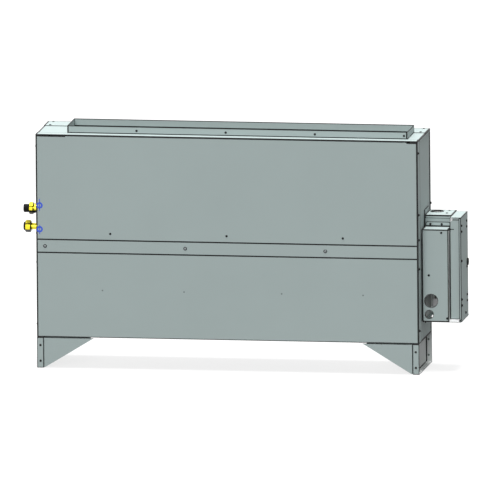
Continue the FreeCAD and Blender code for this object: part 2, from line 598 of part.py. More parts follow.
def fan_deck():
    """The shelf between the fans and the coil, open above each fan housing."""
    body = new_body("fan_deck")
    side, near, far = f"({HALF} - 2 * {LAYER})", f"({FRONT} + 2 * {LAYER})", f"({BACK} - 2 * {LAYER})"
    outlets = [rect(f"{x} - housing_wide / 2 + housing_thick", f"{x} + housing_wide / 2 - housing_thick",
                    OUTLET_FRONT, OUTLET_BACK) for _, x in fan_centres()]
    extrude(body, "XY", DECK, f"{DECK} + sheet_thick", rect(f"-{side}", side, near, far), *outlets)
    extrude(body, "XY", DECK, f"{DECK} + deck_flange", rect(f"-{side}", side, near, f"{near} + sheet_thick"))
    for start, end in ((f"-{side}", f"-{side} + sheet_thick"), (f"{side} - sheet_thick", side)):
        extrude(body, "XY", DECK, f"{DECK} + deck_side_flange", rect(start, end, near, far))
    extrude(body, "XZ", f"{near} - 1", f"{near} + 3", *hexagons(RAIL_SCREWS), cut=True)
    extrude(body, "XY", f"{DECK} - 1", f"{DECK} + 3",
            polygon(f"-{DRAIN_X}", f"{FRONT} + drain_back", "spigot_radius + pipe_hole_fit", ROUND), cut=True)


def volute(grow):
    """Three quarter arcs of growing radius about the wheel, open upward at the back."""
    first = f"(volute_start + {grow})"
    second = f"(volute_start + volute_step + {grow})"
    third = f"(volute_start + 2 * volute_step + {grow})"
    tongue = f"(tongue_out - {grow})"
    roof = f"({DECK} - {FAN_Z})"
    return [
        (tongue, roof), (tongue, f"sqrt({first} ^ 2 - {tongue} ^ 2)", first, 1),
        (f"-{first}", "0", second, 1),
        ("volute_step", f"-{second}", third, 1), (f"volute_step + {third}", "volute_step"),
        (f"volute_step + {third}", roof)]


def fan_housing(label, x):
    body = new_body(label, x, FAN_Y, FAN_Z)
    half, inner = "(housing_wide / 2)", "(housing_wide / 2 - housing_thick)"
    extrude(body, "YZ", f"-{half}", half, volute("housing_thick"))
    extrude(body, "YZ", f"-{inner}", inner, volute("0"), cut=True)
    mouth = polygon("0", "0", "inlet_radius", ROUND)
    extrude(body, "YZ", f"-{half} - 1", f"{half} + 1", mouth, cut=True)
    for start, end in ((f"-{half}", f"-{inner} + inlet_lip"), (f"{inner} - inlet_lip", half)):
        extrude(body, "YZ", start, end, mouth, polygon("0", "0", "inlet_radius + inlet_lip_wide", ROUND))
    roof, back = f"({DECK} - {FAN_Z})", "(volute_start + 3 * volute_step)"
    rim = f"({half} + housing_flange)"
    extrude(body, "XY", f"{roof} - housing_thick", roof,
            rect(f"-{rim}", rim, "tongue_out - housing_flange", f"{back} + housing_flange"),
            rect(f"-{inner}", inner, "tongue_out", back))


def fan_wheel(label, x):
    """A double inlet wheel: forward leaning blades between two rings, on a middle disc."""
    body = new_body(label, x, FAN_Y, FAN_Z)
    edge, sides = "(housing_wide / 2 - wheel_gap)", round(value("blades"))
    for start, end in ((f"-{edge}", f"-{edge} + end_ring_thick"), (f"{edge} - end_ring_thick", edge)):
        extrude(body, "YZ", start, end, polygon("0", "0", "wheel_radius + 1", sides),
                polygon("0", "0", "wheel_radius + 1 - end_ring_wide", sides))
    tip_y, tip_z = "wheel_radius * cos(blade_sweep)", "wheel_radius * sin(blade_sweep)"
    blade = [("blade_inner_radius", "0"), (tip_y, tip_z),
             (f"{tip_y} - blade_thick / 2", f"{tip_z} + blade_thick"),
             ("blade_inner_radius - blade_thick / 2", "blade_thick")]
    one = extrude(body, "YZ", f"-{edge} + end_ring_thick / 2", f"{edge} - end_ring_thick / 2", blade)
    around = body.newObject("PartDesign::PolarPattern", "Blades")
    around.Originals = [one]
    around.Axis = (one.Profile[0], ["N_Axis"])
    around.Angle = 360
    bind(around, "Occurrences", "blades")
    body.Tip = around
    doc.recompute()
    extrude(body, "YZ", "-hub_disc_thick / 2", "hub_disc_thick / 2", polygon("0", "0", "wheel_radius", sides))
    extrude(body, "YZ", "-hub_long / 2", "hub_long / 2", polygon("0", "0", "hub_radius", ROUND))
    extrude(body, "YZ", "-hub_long", "hub_long", circle("0", "0", "shaft_radius + shaft_fit / 2"), cut=True)


def fan_shaft():
    body = new_body("fan_shaft", "fan_middle", FAN_Y, FAN_Z)
    end = "(fan_offset + hub_long / 2 + shaft_end)"
    extrude(body, "YZ", f"-{end}", end, circle("0", "0", "shaft_radius"))


def fan_motor():
    body = new_body("fan_motor", "fan_middle", FAN_Y, FAN_Z)
    half, bore = "(motor_long / 2)", circle("0", "0", "shaft_radius + shaft_fit")
    for end, radius in ((half, "motor_radius"), (f"({half} + boss_long)", "boss_radius")):
        extrude(body, "YZ", f"-{end}", end, polygon("0", "0", radius, ROUND))
    extrude(body, "YZ", f"-{half} - boss_long - 1", f"{half} + boss_long + 1", bore, cut=True)


def motor_rubber_rings():
    body = new_body("motor_rubber_rings", "fan_middle", FAN_Y, FAN_Z)
    for side in (-1, 1):
        middle = f"{side} * (motor_long / 2 + boss_long / 2)"
        extrude(body, "YZ", f"{middle} - ring_wide / 2", f"{middle} + ring_wide / 2",
                polygon("0", "0", "ring_radius", ROUND), polygon("0", "0", "boss_radius + ring_fit", ROUND))


def motor_cradle():
    """An inverted U under the deck; each arm holds one rubber ring of the motor."""
    body = new_body("motor_cradle", "fan_middle", FAN_Y, FAN_Z)
    roof = f"({DECK} - {FAN_Z})"
    arm = "(motor_long / 2 + boss_long / 2 + cradle_thick / 2)"
    section = channel(f"-{arm}", arm, roof, "-ring_radius - cradle_drop", -1, "cradle_thick")
    extrude(body, "XZ", "-cradle_wide / 2", "cradle_wide / 2", section)
    extrude(body, "YZ", f"-{arm} - 1", f"{arm} + 1",
            polygon("0", "0", "ring_radius + ring_fit", ROUND), cut=True)


# The coil leans back so that its front tube row meets the gas pipe and its back row the
# liquid pipe. Its own frame starts at its lower front edge, y across it and z up its face.
LEAN_SIN, LEAN_COS = "sin(coil_lean)", "cos(coil_lean)"
ROW_PITCH = f"(union_pitch * {LEAN_SIN})"
ROW_ONE, ROW_TWO = f"(coil_deep / 2 - {ROW_PITCH} / 2)", f"(coil_deep / 2 + {ROW_PITCH} / 2)"
COIL_BACK = f"(({ROW_ONE} + (gas_rise - deck_rise - coil_rise) * {LEAN_SIN}) / {LEAN_COS})"
COIL_Y = f"({FRONT} + union_back - {COIL_BACK})"
COIL_Z = f"({DECK} + coil_rise)"
COIL_LEFT = f"(coil_end_gap - {COLLAR_LEFT})"
COIL_RIGHT = f"({COLLAR_RIGHT} - coil_end_gap)"
HEADER_X = f"({COIL_LEFT} - sheet_thick - header_out)"
TUBE_LOW = "(coil_high / 2 - (row_tubes - 1) * tube_pitch / 2)"


def lean(body):
    """Put the body's origin at the coil's lower front edge and lean it back."""
    body.Placement.Rotation = FreeCAD.Rotation(FreeCAD.Vector(1, 0, 0), 1)
    bind(body, "Placement.Rotation.Angle", "-coil_lean")
    for axis, text in (("y", COIL_Y), ("z", COIL_Z)):
        bind(body, "Placement.Base." + axis, text)


def coil_fin_pack():
    body = new_body("coil_fin_pack")
    lean(body)
    extrude(body, "YZ", COIL_LEFT, COIL_RIGHT, rect("0", "coil_deep", "0", "coil_high"))


def coil_end_plate(label, side):
    """A full height sheet that closes the air way and carries the coil."""
    body = new_body(label)
    face = COIL_RIGHT if side > 0 else COIL_LEFT
    near, far = f"{FRONT} + 3 * {LAYER} + 1", f"{BACK} - 2 * {LAYER} - 1"
    low, high = f"{DECK} + sheet_thick", f"{FRAME_TOP} - sheet_thick"
    start, end = (face, f"{face} + sheet_thick") if side > 0 else (f"{face} - sheet_thick", face)
    extrude(body, "XY", low, high, rect(start, end, near, far))
    start, end = (face, f"{face} + plate_flange") if side > 0 else (f"{face} - plate_flange", face)
    for bottom, top in ((low, f"{low} + sheet_thick"), (f"{high} - sheet_thick", high)):
        extrude(body, "XY", bottom, top, rect(start, end, near, far))
    opening = rect(f"{FRONT} + pan_front - 1", f"{FRONT} + pan_front + pan_deep + 1",
                   f"{low} - 1", f"{DECK} + pan_high + 3")
    extrude(body, "YZ", f"{face} - plate_flange - 1", f"{face} + plate_flange + 1", opening, cut=True)


def coil_baffle():
    """A sheet from the coil's top to the rear panel, so that all the air crosses the fins."""
    body = new_body("coil_baffle")
    y0 = f"({COIL_Y} + (coil_high + lap_gap) * {LEAN_SIN})"
    z0 = f"({COIL_Z} + (coil_high + lap_gap) * {LEAN_COS})"
    wall = f"({BACK} - {LAYER})"
    slope = "tan(coil_lean)"
    bend = f"{z0} + sheet_thick / {LEAN_COS} - ({wall} - sheet_thick - {y0}) * {slope}"
    section = [
        (y0, z0), (wall, f"{z0} - ({wall} - {y0}) * {slope}"), (wall, z0), (f"{wall} - sheet_thick", z0),
        (f"{wall} - sheet_thick", bend),
        (f"{y0} + sheet_thick * {LEAN_SIN}", f"{z0} + sheet_thick * {LEAN_COS}")]
    extrude(body, "YZ", COIL_LEFT, COIL_RIGHT, section)


def tube_bends(body, face, outward, plane, level, first, second, count):
    """Six sided half turns of tube between two tube ends, repeated up the coil."""
    y, z = (level, first) if plane == "XZ" else (first, level)
    profile = new_sketch(body, "YZ", face)
    draw(profile, polygon(y, z, "tube_radius", 6))
    path = new_sketch(body, plane, level)
    far = f"{face} + {outward} * (({second}) - ({first})) / 2"
    line = Outline()
    line.path([(face, first), (far, first), (far, second), (face, second)])
    line.put(path)
    bend = body.newObject("PartDesign::AdditivePipe", "Bend")
    bend.Profile = profile
    bend.Spine = path
    bend.Transition = "Right corner"
    doc.recompute()
    row = body.newObject("PartDesign::LinearPattern", "Bends")
    row.Originals = [bend]
    row.Direction = (profile, ["V_Axis"])
    bind(row, "Occurrences", count)
    bind(row, "Length", f"(({count}) - 1) * (row_tubes / ({count})) * tube_pitch")
    body.Tip = row
    doc.recompute()


def coil_return_bends():
    """The right end joins tubes in pairs; the left end joins the pairs, then the two rows."""
    body = new_body("coil_return_bends")
    lean(body)
    right, left = f"({COIL_RIGHT} + sheet_thick)", f"({COIL_LEFT} - sheet_thick)"
    circuits, last = "row_tubes / circuit_tubes", f"({TUBE_LOW} + (circuit_tubes - 1) * tube_pitch)"
    second, third = f"({TUBE_LOW} + tube_pitch)", f"({TUBE_LOW} + 2 * tube_pitch)"
    for row in (ROW_ONE, ROW_TWO):
        tube_bends(body, right, 1, "XZ", row, TUBE_LOW, second, "row_tubes / 2")
        tube_bends(body, left, -1, "XZ", row, second, third, circuits)
    tube_bends(body, left, -1, "XY", last, ROW_ONE, ROW_TWO, circuits)


def coil_header(label, row, radius, pipe_radius, rise):
    """A header along one tube row, fed by the pipe that runs out to its union."""
    body = new_body(label)
    lean(body)
    extrude(body, "XY", f"{TUBE_LOW} - tube_pitch / 2", f"{TUBE_LOW} + (row_tubes - 3) * tube_pitch",
            polygon(HEADER_X, row, radius, ROUND))
    stubs = [polygon(row, f"{TUBE_LOW} + {k} * circuit_tubes * tube_pitch", "tube_radius", 6)
             for k in range(3)]
    extrude(body, "YZ", HEADER_X, f"{COIL_LEFT} - sheet_thick", *stubs)
    along = f"{COIL_BACK} * {LEAN_SIN} + ({rise} - deck_rise - coil_rise) * {LEAN_COS}"
    extrude(body, "YZ", f"union_in - {HALF} - union_overlap", HEADER_X,
            polygon(row, along, pipe_radius, ROUND))


def drain_pan():
    """The tray under the coil; it runs on under the headers and under the bends."""
    body = new_body("drain_pan")
    low = f"({DECK} + {LAYER})"
    start, end = f"(-{DRAIN_X} - pan_left)", f"({COIL_RIGHT} + pan_right)"
    near, far = f"({FRONT} + pan_front)", f"({FRONT} + pan_front + pan_deep)"
    extrude(body, "YZ", start, end, channel(near, far, low, f"{low} + pan_high", 1))
    inner = rect(f"{near} + sheet_thick / 2", f"{far} - sheet_thick / 2",
                 f"{low} + sheet_thick / 2", f"{low} + pan_high")
    extrude(body, "YZ", start, f"{start} + sheet_thick", inner)
    extrude(body, "YZ", f"{end} - sheet_thick", end, inner)
    extrude(body, "XY", f"{low} - 1", f"{low} + 3",
            polygon(f"-{DRAIN_X}", f"{FRONT} + drain_back", "drain_radius - drain_wall", ROUND), cut=True)


def drain_pipe():
    """A pipe down from the pan to a thicker spigot for the hose, below the base."""
    body = new_body("drain_pipe", f"-{DRAIN_X}", f"{FRONT} + drain_back", "0")
    bore, step = polygon("0", "0", "drain_radius - drain_wall", ROUND), "drain_low + spigot_long"
    extrude(body, "XY", "drain_low", step, circle("0", "0", "spigot_radius"), bore)
    extrude(body, "XY", step, f"{DECK} + {LAYER}", polygon("0", "0", "drain_radius", ROUND), bore)


def pipe_union(name, rise, pipe_radius, neck, ring, nut_out, nut_long, cap_long):
    """A threaded union on the pipe, its hexagon nut and the plastic cap that closes it.

    Distances are outward from the casing's left side.
    """
    place = (f"-{HALF}", f"{FRONT} + union_back", f"leg_high + {rise}")
    thread, bore = f"({neck} - 1.5)", f"(({pipe_radius} + {PIPE_FIT}) / cos({180 / ROUND}))"
    end = f"({nut_out} + {nut_long})"
    body = new_body(f"{name}_union", *place)
    step = f"({nut_out} - 5.5)"
    for start, stop, radius in (("-union_in", step, neck), (step, nut_out, ring),
                                (nut_out, f"({end} - cap_plug - 0.5)", thread)):
        extrude(body, "YZ", f"-{stop}", f"-({start})", polygon("0", "0", radius, ROUND),
                polygon("0", "0", bore, ROUND))
    body = new_body(f"{name}_flare_nut", *place)
    extrude(body, "YZ", f"-{end}", f"-{nut_out}", polygon("0", "0", "nut_corner", 6),
            polygon("0", "0", f"{thread} + {PIPE_FIT}", ROUND))
    body = new_body(f"{name}_union_cap", *place)
    extrude(body, "YZ", f"-{end}", f"cap_plug - {end}", polygon("0", "0", thread, ROUND))
    extrude(body, "YZ", f"-({end} + {cap_long})", f"-{end}", polygon("0", "0", "cap_radius", ROUND))


# The control box has its own frame: x out from the casing's side, y back from the casing's
# front, z up from the box's lower edge.
BOX = (HALF, FRONT, "leg_high + box_low")
SHELL_FRONT = f"(box_front + {LAYER})"
BOX_SIDE = "(lid_wide + box_gap)"
TRAY_BACK = "(side_back + 2)"
TAB_RISE = "lid_high + lid_tab_high / 2"
LID_SCREWS = [(f"{BOX_SIDE} - lid_screw_right", "lid_high - lid_screw_drop"),
              ("lid_screw_left", "lid_screw_rise")]
TAB_SCREWS = [("tab_screw_left", TAB_RISE), (f"{BOX_SIDE} - tab_screw_right", TAB_RISE)]
BOX_TOP_SCREWS = [(f"{BOX_SIDE} - box_top_screw_side", y)
                  for y in ("box_front + box_top_screw_inset", "box_back - box_top_screw_end")]
FACE_RISES = ["box_high - face_screw_top", "box_high - face_screw_top - face_screw_step",
              "face_screw_low + face_screw_step", "face_screw_low"]
SIDE_FACE_SCREWS = [("side_front + face_screw_front", z)
                    for z in FACE_RISES + ["face_screw_middle + face_screw_skew"]]
SIDE_FACE_SCREWS += [("side_back - face_screw_back", z)
                     for z in FACE_RISES + ["face_screw_middle - face_screw_skew"]]
SIDE_FACE_SCREWS += [("side_back - face_screw_last_back", "face_screw_last_rise")]


def control_box_shell():
    """The main box: back and sides in one folded sheet, and a strip across its front."""
    body = new_body("control_box_shell", *BOX)
    top = f"(box_high - {LAYER})"
    side = f"({BOX_SIDE} + box_top_over)"
    extrude(body, "XY", LAYER, top, channel("box_gap", side, "box_back", SHELL_FRONT, -1))
    strip = rect("box_gap + sheet_thick / 2", f"{side} - sheet_thick / 2", "lid_high - lid_flange", top)
    extrude(body, "XZ", SHELL_FRONT, f"{SHELL_FRONT} + sheet_thick", strip)
    extrude(body, "XZ", f"{SHELL_FRONT} - 1", f"{SHELL_FRONT} + 3", *hexagons(TAB_SCREWS), cut=True)
    flange = rect(f"{BOX_SIDE} - box_top_flange", f"{side} - sheet_thick / 2",
                  "box_front + box_top_lip", "box_back - 2")
    extrude(body, "XY", f"{top} - sheet_thick", top, flange)
    extrude(body, "XY", f"{top} - 3", f"{top} + 1", *hexagons(BOX_TOP_SCREWS), cut=True)


def control_box_base():
    """The bottom of both halves; its front edge shows as a ledge under the side tray."""
    body = new_body("control_box_base", *BOX)
    plate = rect("box_gap", f"box_wide - {LAYER}", f"lid_front + {LAYER}", "box_back")
    extrude(body, "XY", "0", "sheet_thick", plate)
    flange = f"(box_back - {LAYER} - sheet_thick)"
    extrude(body, "XY", "0", "14", rect(f"box_gap + 2 * {LAYER}", f"{BOX_SIDE} - 1",
            flange, f"{flange} + sheet_thick"))
    ledge = (f"({BOX_SIDE} + tray_right) / 2 + 6", "(lid_front + tray_front) / 2 + 1")
    extrude(body, "XY", "-1", "3", *hexagons([ledge]), cut=True)


def control_box_lid():
    """The flat front cover, with the two cable entries."""
    body = new_body("control_box_lid", *BOX)
    extrude(body, "XZ", "lid_front", "lid_front + sheet_thick", rect("box_gap", BOX_SIDE, "0", "lid_high"))
    extrude(body, "XZ", "lid_front - 1", "lid_front + 3",
            circle("lid_big_side", "lid_big_rise", "lid_big_hole"),
            circle("lid_small_side", "lid_small_rise", "lid_small_hole"),
            *hexagons(LID_SCREWS + [(f"{BOX_SIDE} - 5", "12")]), cut=True)


def control_box_surround():
    """The sides and the ledge behind the cover, with a rounded tab screwed to the shell."""
    body = new_body("control_box_surround", *BOX)
    face = f"(lid_front + {LAYER})"
    back = f"({face} + sheet_thick)"
    left = [("box_gap", face), ("box_gap + surround_left", face), ("box_gap + surround_left", back),
            ("box_gap + sheet_thick", back), ("box_gap + sheet_thick", "box_front"), ("box_gap", "box_front")]
    right = [(f"{BOX_SIDE} - surround_right", face), (BOX_SIDE, face), (BOX_SIDE, "box_front"),
             (f"{BOX_SIDE} - sheet_thick", "box_front"), (f"{BOX_SIDE} - sheet_thick", back),
             (f"{BOX_SIDE} - surround_right", back)]
    extrude(body, "XY", LAYER, "lid_high", left, right)
    extrude(body, "XZ", face, back, rect("box_gap", BOX_SIDE, "lid_high - surround_top", "lid_high"))
    extrude(body, "XY", "lid_high - sheet_thick", "lid_high",
            rect("box_gap", BOX_SIDE, face, "box_front + sheet_thick"))
    left, right = "(box_gap + lid_tab_inset)", f"({BOX_SIDE} - lid_tab_inset)"
    low, high, corner = "lid_high - sheet_thick", "(lid_high + lid_tab_high)", "lid_tab_corner"
    tab = [(left, low), (right, low), (right, f"{high} - {corner}", corner, 1), (f"{right} - {corner}", high),
           (f"{left} + {corner}", high, corner, 1), (left, f"{high} - {corner}")]
    extrude(body, "XZ", "box_front", "box_front + sheet_thick", tab)
    extrude(body, "XZ", "box_front - 1", "box_front + 3", *hexagons(TAB_SCREWS), cut=True)
    extrude(body, "XZ", "lid_front - 1", "lid_front + 5", *hexagons(LID_SCREWS[:1]), cut=True)


def control_box_top():
    body = new_body("control_box_top", *BOX)
    extrude(body, "XY", "box_high - sheet_thick", "box_high",
            rect("box_gap", f"{BOX_SIDE} + box_top_over", "box_front", "box_back"))
    extrude(body, "XZ", "box_front", "box_front + sheet_thick",
            rect("box_gap", f"{BOX_SIDE} + box_top_over", "box_high - box_top_lip", "box_high - sheet_thick"))
    extrude(body, "XY", "box_high - 3", "box_high + 1",
            circle("lid_big_side", "top_hole_back", "lid_big_hole"), *hexagons(BOX_TOP_SCREWS), cut=True)


def control_side_tray():
    """The narrow half: a sheet folded round three sides, with a chamfered top corner."""
    body = new_body("control_side_tray", *BOX)
    inner = f"(box_wide - {LAYER})"
    plan = [
        ("tray_left", "tray_front"), ("tray_right", "tray_front"),
        ("tray_right", "tray_front + sheet_thick"),
        ("tray_left + sheet_thick", "tray_front + sheet_thick"),
        ("tray_left + sheet_thick", f"{TRAY_BACK} - sheet_thick"), (inner, f"{TRAY_BACK} - sheet_thick"),
        (inner, TRAY_BACK), ("tray_left", TRAY_BACK)]
    extrude(body, "XY", "side_low", "box_high", plan)
    extrude(body, "XY", "box_high - sheet_thick", "box_high",
            rect("tray_left", inner, "tray_front", TRAY_BACK))
    edge = "box_high - sheet_thick"
    corner = [("tray_left - 1", "box_high - 2 * tray_bevel"),
              ("tray_left + tray_bevel", "box_high - tray_bevel"),
              ("tray_left + tray_bevel", edge), ("tray_left - 1", edge)]
    extrude(body, "XZ", "tray_front - 1", "tray_front + sheet_thick", corner, cut=True)
    extrude(body, "XY", "box_high - 3", "box_high + 1",
            *hexagons([("(tray_left + tray_right) / 2 + 3", "tray_front + 7")]), cut=True)


def control_side_cover():
    body = new_body("control_side_cover", *BOX)
    plan = swap(channel("side_front", f"{TRAY_BACK} + {LAYER}", "box_wide", "box_wide - side_return", -1))
    extrude(body, "XY", "side_low", "box_high", plan)
    extrude(body, "XY", "0", "side_low",
            rect("box_wide - sheet_thick", "box_wide", "side_front + bend_radius", f"{TRAY_BACK} - 1"))
    extrude(body, "YZ", "box_wide - 2", "box_wide + 1", *hexagons(SIDE_FACE_SCREWS), cut=True)


def control_box_screws():
    body = new_body("control_box_screws", *BOX)
    add_screws(body, "XZ", "lid_front", -1, LID_SCREWS, SCREW_LONG)
    add_screws(body, "XZ", "box_front", -1, TAB_SCREWS, SCREW_LONG)
    add_screws(body, "XY", "box_high", 1, BOX_TOP_SCREWS, SCREW_LONG)
    add_screws(body, "YZ", "box_wide", 1, SIDE_FACE_SCREWS, "(sheet_thick + 1)")


def control_side_plug():
    body = new_body("control_side_plug", *BOX)
    extrude(body, "YZ", "box_wide", "box_wide + plug_high",
            polygon("plug_back", "plug_rise", "plug_radius", ROUND))


def control_box_straps():
    """Two flat straps that hold the box to the casing's side, one at each end."""
    body = new_body("control_box_straps", *BOX)
    for low, high in (("-strap_over", "strap_low"), ("box_high - strap_high", "box_high + strap_over")):
        extrude(body, "YZ", f"-{LAYER}", "box_gap",
                rect("box_front + strap_front", "box_back - strap_back", low, high))


def control_board():
    """The circuit board on its four posts, with a relay block and a transformer."""
    body = new_body("control_board", *BOX)
    back = f"(box_back - {LAYER})"
    low, high = "board_low", "(board_low + board_high)"
    left, right = "(box_gap + board_side)", f"({BOX_SIDE} - board_side)"
    posts = [polygon(x, z, "3", 6) for x in (f"{left} + 5", f"{right} - 5")
             for z in (f"{low} + 6", f"{high} - 6")]
    extrude(body, "XZ", f"{back} - board_post", back, *posts)
    face = f"{back} - board_post - board_thick"
    extrude(body, "XZ", face, f"{back} - board_post", rect(left, right, low, high))
    extrude(body, "XZ", f"{face} - 16", face,
            rect(f"{left} + 6", f"{left} + 26", f"{low} + 14", f"{low} + 44"),
            rect(f"{left} + 32", f"{left} + 54", f"{low} + 14", f"{low} + 40"),
            rect(f"{left} + 8", f"{left} + 50", f"{low} + 84", f"{low} + 92"))


def terminal_block():
    """A moulded block whose middle third stands out with the terminals."""
    body = new_body("terminal_block", *BOX)
    back, low, high = f"(box_back - {LAYER})", "block_low", "(block_low + block_high)"
    step, face = f"{back} - block_deep / 2", f"{back} - block_deep"
    step_low, step_high = f"{low} + block_high / 3", f"{high} - block_high / 3"
    section = [(back, low), (back, high), (step, high), (step, step_high),
               (face, step_high), (face, step_low), (step, step_low), (step, low)]
    extrude(body, "YZ", "box_gap + block_side", f"{BOX_SIDE} - block_side", section)


def fan_capacitor():
    body = new_body("fan_capacitor", *BOX)
    back, middle = f"(box_back - {LAYER})", f"({BOX_SIDE} / 2)"
    extrude(body, "XZ", f"{back} - capacitor_deep", back,
            rect(f"{middle} - capacitor_wide / 2", f"{middle} + capacitor_wide / 2",
                 "capacitor_low", "capacitor_low + capacitor_high"))


for build in (front_upper_panel, front_joint_rail, front_lower_panel):
    build()
side_panel("left_side_panel", True)
side_panel("right_side_panel", False)
for build in (rear_panel, top_frame_plate, top_rear_cover, discharge_collar, casing_screws,
              rail_screws, base_pan):
    build()
for end_name, end_side in (("left", -1), ("right", 1)):
    leg(f"{end_name}_leg", end_side)
    gusset(f"{end_name}_leg_gusset", end_side)
    filter_runner(f"{end_name}_filter_runner", end_side)
for build in (leg_bolts, filter_frame, filter_mesh, filter_stop, fan_deck):
    build()
for fan_name, fan_x in fan_centres():
    fan_housing(f"{fan_name}_fan_housing", fan_x)
    fan_wheel(f"{fan_name}_fan_wheel", fan_x)
for build in (fan_shaft, fan_motor, motor_rubber_rings, motor_cradle, coil_fin_pack):
    build()
coil_end_plate("coil_left_plate", -1)
coil_end_plate("coil_right_plate", 1)
for build in (coil_baffle, coil_return_bends, drain_pan, drain_pipe):
    build()
coil_header("gas_header", ROW_ONE, "gas_header_radius", "gas_pipe_radius", "gas_rise")
coil_header("liquid_header", ROW_TWO, "liquid_header_radius", "liquid_pipe_radius", LIQUID_RISE)
pipe_union("gas", "gas_rise", "gas_pipe_radius", "gas_neck_radius", "gas_neck_radius + 2",
           "gas_nut_out", "gas_nut_long", "gas_cap_long")
pipe_union("liquid", LIQUID_RISE, "liquid_pipe_radius", "liquid_neck_radius", "liquid_neck_radius + 1",
           "liquid_nut_out", "liquid_nut_long", "liquid_cap_long")
for build in (control_box_shell, control_box_base, control_box_lid, control_box_surround,
              control_box_top, control_side_tray, control_side_cover, control_side_plug,
              control_box_screws, control_board, terminal_block, fan_capacitor, control_box_straps):
    build()

doc.recompute()
os.makedirs("parts", exist_ok=True)
for item in doc.Objects:
    if "Invalid" in item.State or "Error" in item.State:
        raise ValueError(f"{item.Label} is {item.State}")
for part in parts:
    if part.Shape.isNull() or not part.Shape.isValid():
        raise ValueError(f"{part.Label} has no valid shape")
    part.Shape.exportStep(os.path.join("parts", part.Label + ".step"))
    box = part.Shape.BoundBox
    print("%-24s %2d solids %10.0f mm3  x %.1f..%.1f y %.1f..%.1f z %.1f..%.1f" % (
        part.Label, len(part.Shape.Solids), part.Shape.Volume,
        box.XMin, box.XMax, box.YMin, box.YMax, box.ZMin, box.ZMax))
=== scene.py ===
"""The looks of a concealed floor air conditioner unit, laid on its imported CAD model.

Objects are in metres, in the CAD frame: x to the right seen from the front, y into the depth,
z up. Sizes in this script are in millimetres, and mm() or MM makes them metres.
"""
import math

import bmesh
import bpy
from mathutils import Matrix, Vector


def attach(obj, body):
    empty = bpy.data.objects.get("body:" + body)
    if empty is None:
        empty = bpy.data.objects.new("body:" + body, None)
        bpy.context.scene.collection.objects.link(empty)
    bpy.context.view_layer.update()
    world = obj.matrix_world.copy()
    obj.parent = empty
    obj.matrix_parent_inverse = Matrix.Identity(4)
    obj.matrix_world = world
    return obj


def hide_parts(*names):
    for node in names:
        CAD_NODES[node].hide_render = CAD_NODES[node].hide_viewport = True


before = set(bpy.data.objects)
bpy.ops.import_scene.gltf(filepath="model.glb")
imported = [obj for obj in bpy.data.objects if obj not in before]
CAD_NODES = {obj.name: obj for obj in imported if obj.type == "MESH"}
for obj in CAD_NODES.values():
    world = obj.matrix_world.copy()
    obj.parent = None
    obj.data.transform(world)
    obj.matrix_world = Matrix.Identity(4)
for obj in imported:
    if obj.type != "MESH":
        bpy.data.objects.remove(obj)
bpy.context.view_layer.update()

MM = 0.001

# The photograph's parallel view: sizes in pixels, and in metres
IMAGE_WIDE = 494
PIXELS_PER_METRE = 331.0
VIEW_AZIMUTH = math.radians(9.394)
VIEW_ELEVATION = math.radians(9.653)
VIEW_ROLL = math.radians(-0.486)
FRONT_MIDDLE = Vector((0, -0.120, 0.405))
FRONT_MIDDLE_PIXEL = (227.2, 239.0)
VIEW_DISTANCE = 4.0

# Colours of the coated sheet, of the lines on its edges, and the white painted as light on the
# faces that it encloses, where shade falls
SHEET_GREY = "#9DAAA9"
EDGE_BLACK = "#08090A"
PAINTED_LIGHT_WHITE = "#E0E4E3"

# Casing, collar and legs. A leg's web is its upright sheet, inward of its two flanges.
HALF_WIDE, FRONT, BACK, CASE_LOW, TOP = 585, -120, 120, 95, 715
COLLAR_FRONT, COLLAR_BACK, COLLAR_SHEET = -83, 47, 1.2
LEG_WEB, LEG_HIGH, LEG_SHEET, FLANGE_HOLE_X = 564.5, 92.5, 2.0, 574.5

# Control box: a lid with its surround, the shell and top behind them, a side tray and its cover
BOX_LEFT, BOX_LOW, BOX_HIGH, BOX_FRONT, BOX_BACK, BOX_SHEET = 586, 152, 471, -4, 92, 1.2
LID_RIGHT, LID_FRONT, LID_HIGH = 667, -60, 435.5
SHELL_RIGHT, SHELL_FACE = 669, -2.55
TRAY_LEFT, TRAY_RIGHT, TRAY_FRONT, COVER_RIGHT = 670, 703.6, -46, 705

# How far the heads of the CAD's screws stand out from their sheets
SCREW_HIGH, RAIL_SCREW_HIGH = 2, 2.2

# Pipe fittings: how deep they lie, the radius at a nut's corners, and that of a cap
PIPE_Y, NUT_CORNER, CAP_RADIUS = -20, 18.7, 12.4

# The fans: the middle of their shaft, the bore round it, and each wheel
SHAFT_MIDDLE, SHAFT_BORE = (16, -20, 213), 6.1
WHEEL_SHIFT, WHEEL_HALF_LONG, RIM_THICK, RIM_INNER, RIM_OUTER = 274, 107, 3, 62, 79
BLADES, BLADE_HALF_LONG, BLADE_HALF_THICK, BLADE_INNER, BLADE_DEEP = 36, 105.5, 0.6, 64, 14
BLADE_SWEEP, BLADE_STEPS = math.radians(11), 6

# The coil leans back; its own frame starts at its lower front edge
COIL_LEAN = math.radians(27.5)
COIL_START = (-83.84, 375.0)
COIL_LEFT, COIL_RIGHT, COIL_DEEP, COIL_HIGH = -483, 538, 50, 305
COIL_PLATE = 1.2
FIN_PITCH, FIN_THICK = 2.4, 0.3
TUBES_HIGH, TUBE_LOW, TUBE_PITCH = 12, 12.8, 25.4
TUBE_RADIUS, BEND_TUBE_RADIUS, BEND_STEPS = 4.8, 4.7, 12
FRONT_ROW, BACK_ROW = 12.302, 37.698
HEADER_X, HEADER_ENDS, PIPE_END_X = -516.2, (0.3, 241.2), -593

# Filter net
NET_LONG, NET_DEEP, NET_PITCH, STRAND_WIDE, STRAND_THICK = 781, 161, 3.0, 0.5, 0.4

FAR = 5000  # past every sheet, so that an edge put there draws no line
FORWARD = Vector((0, -1, 0))


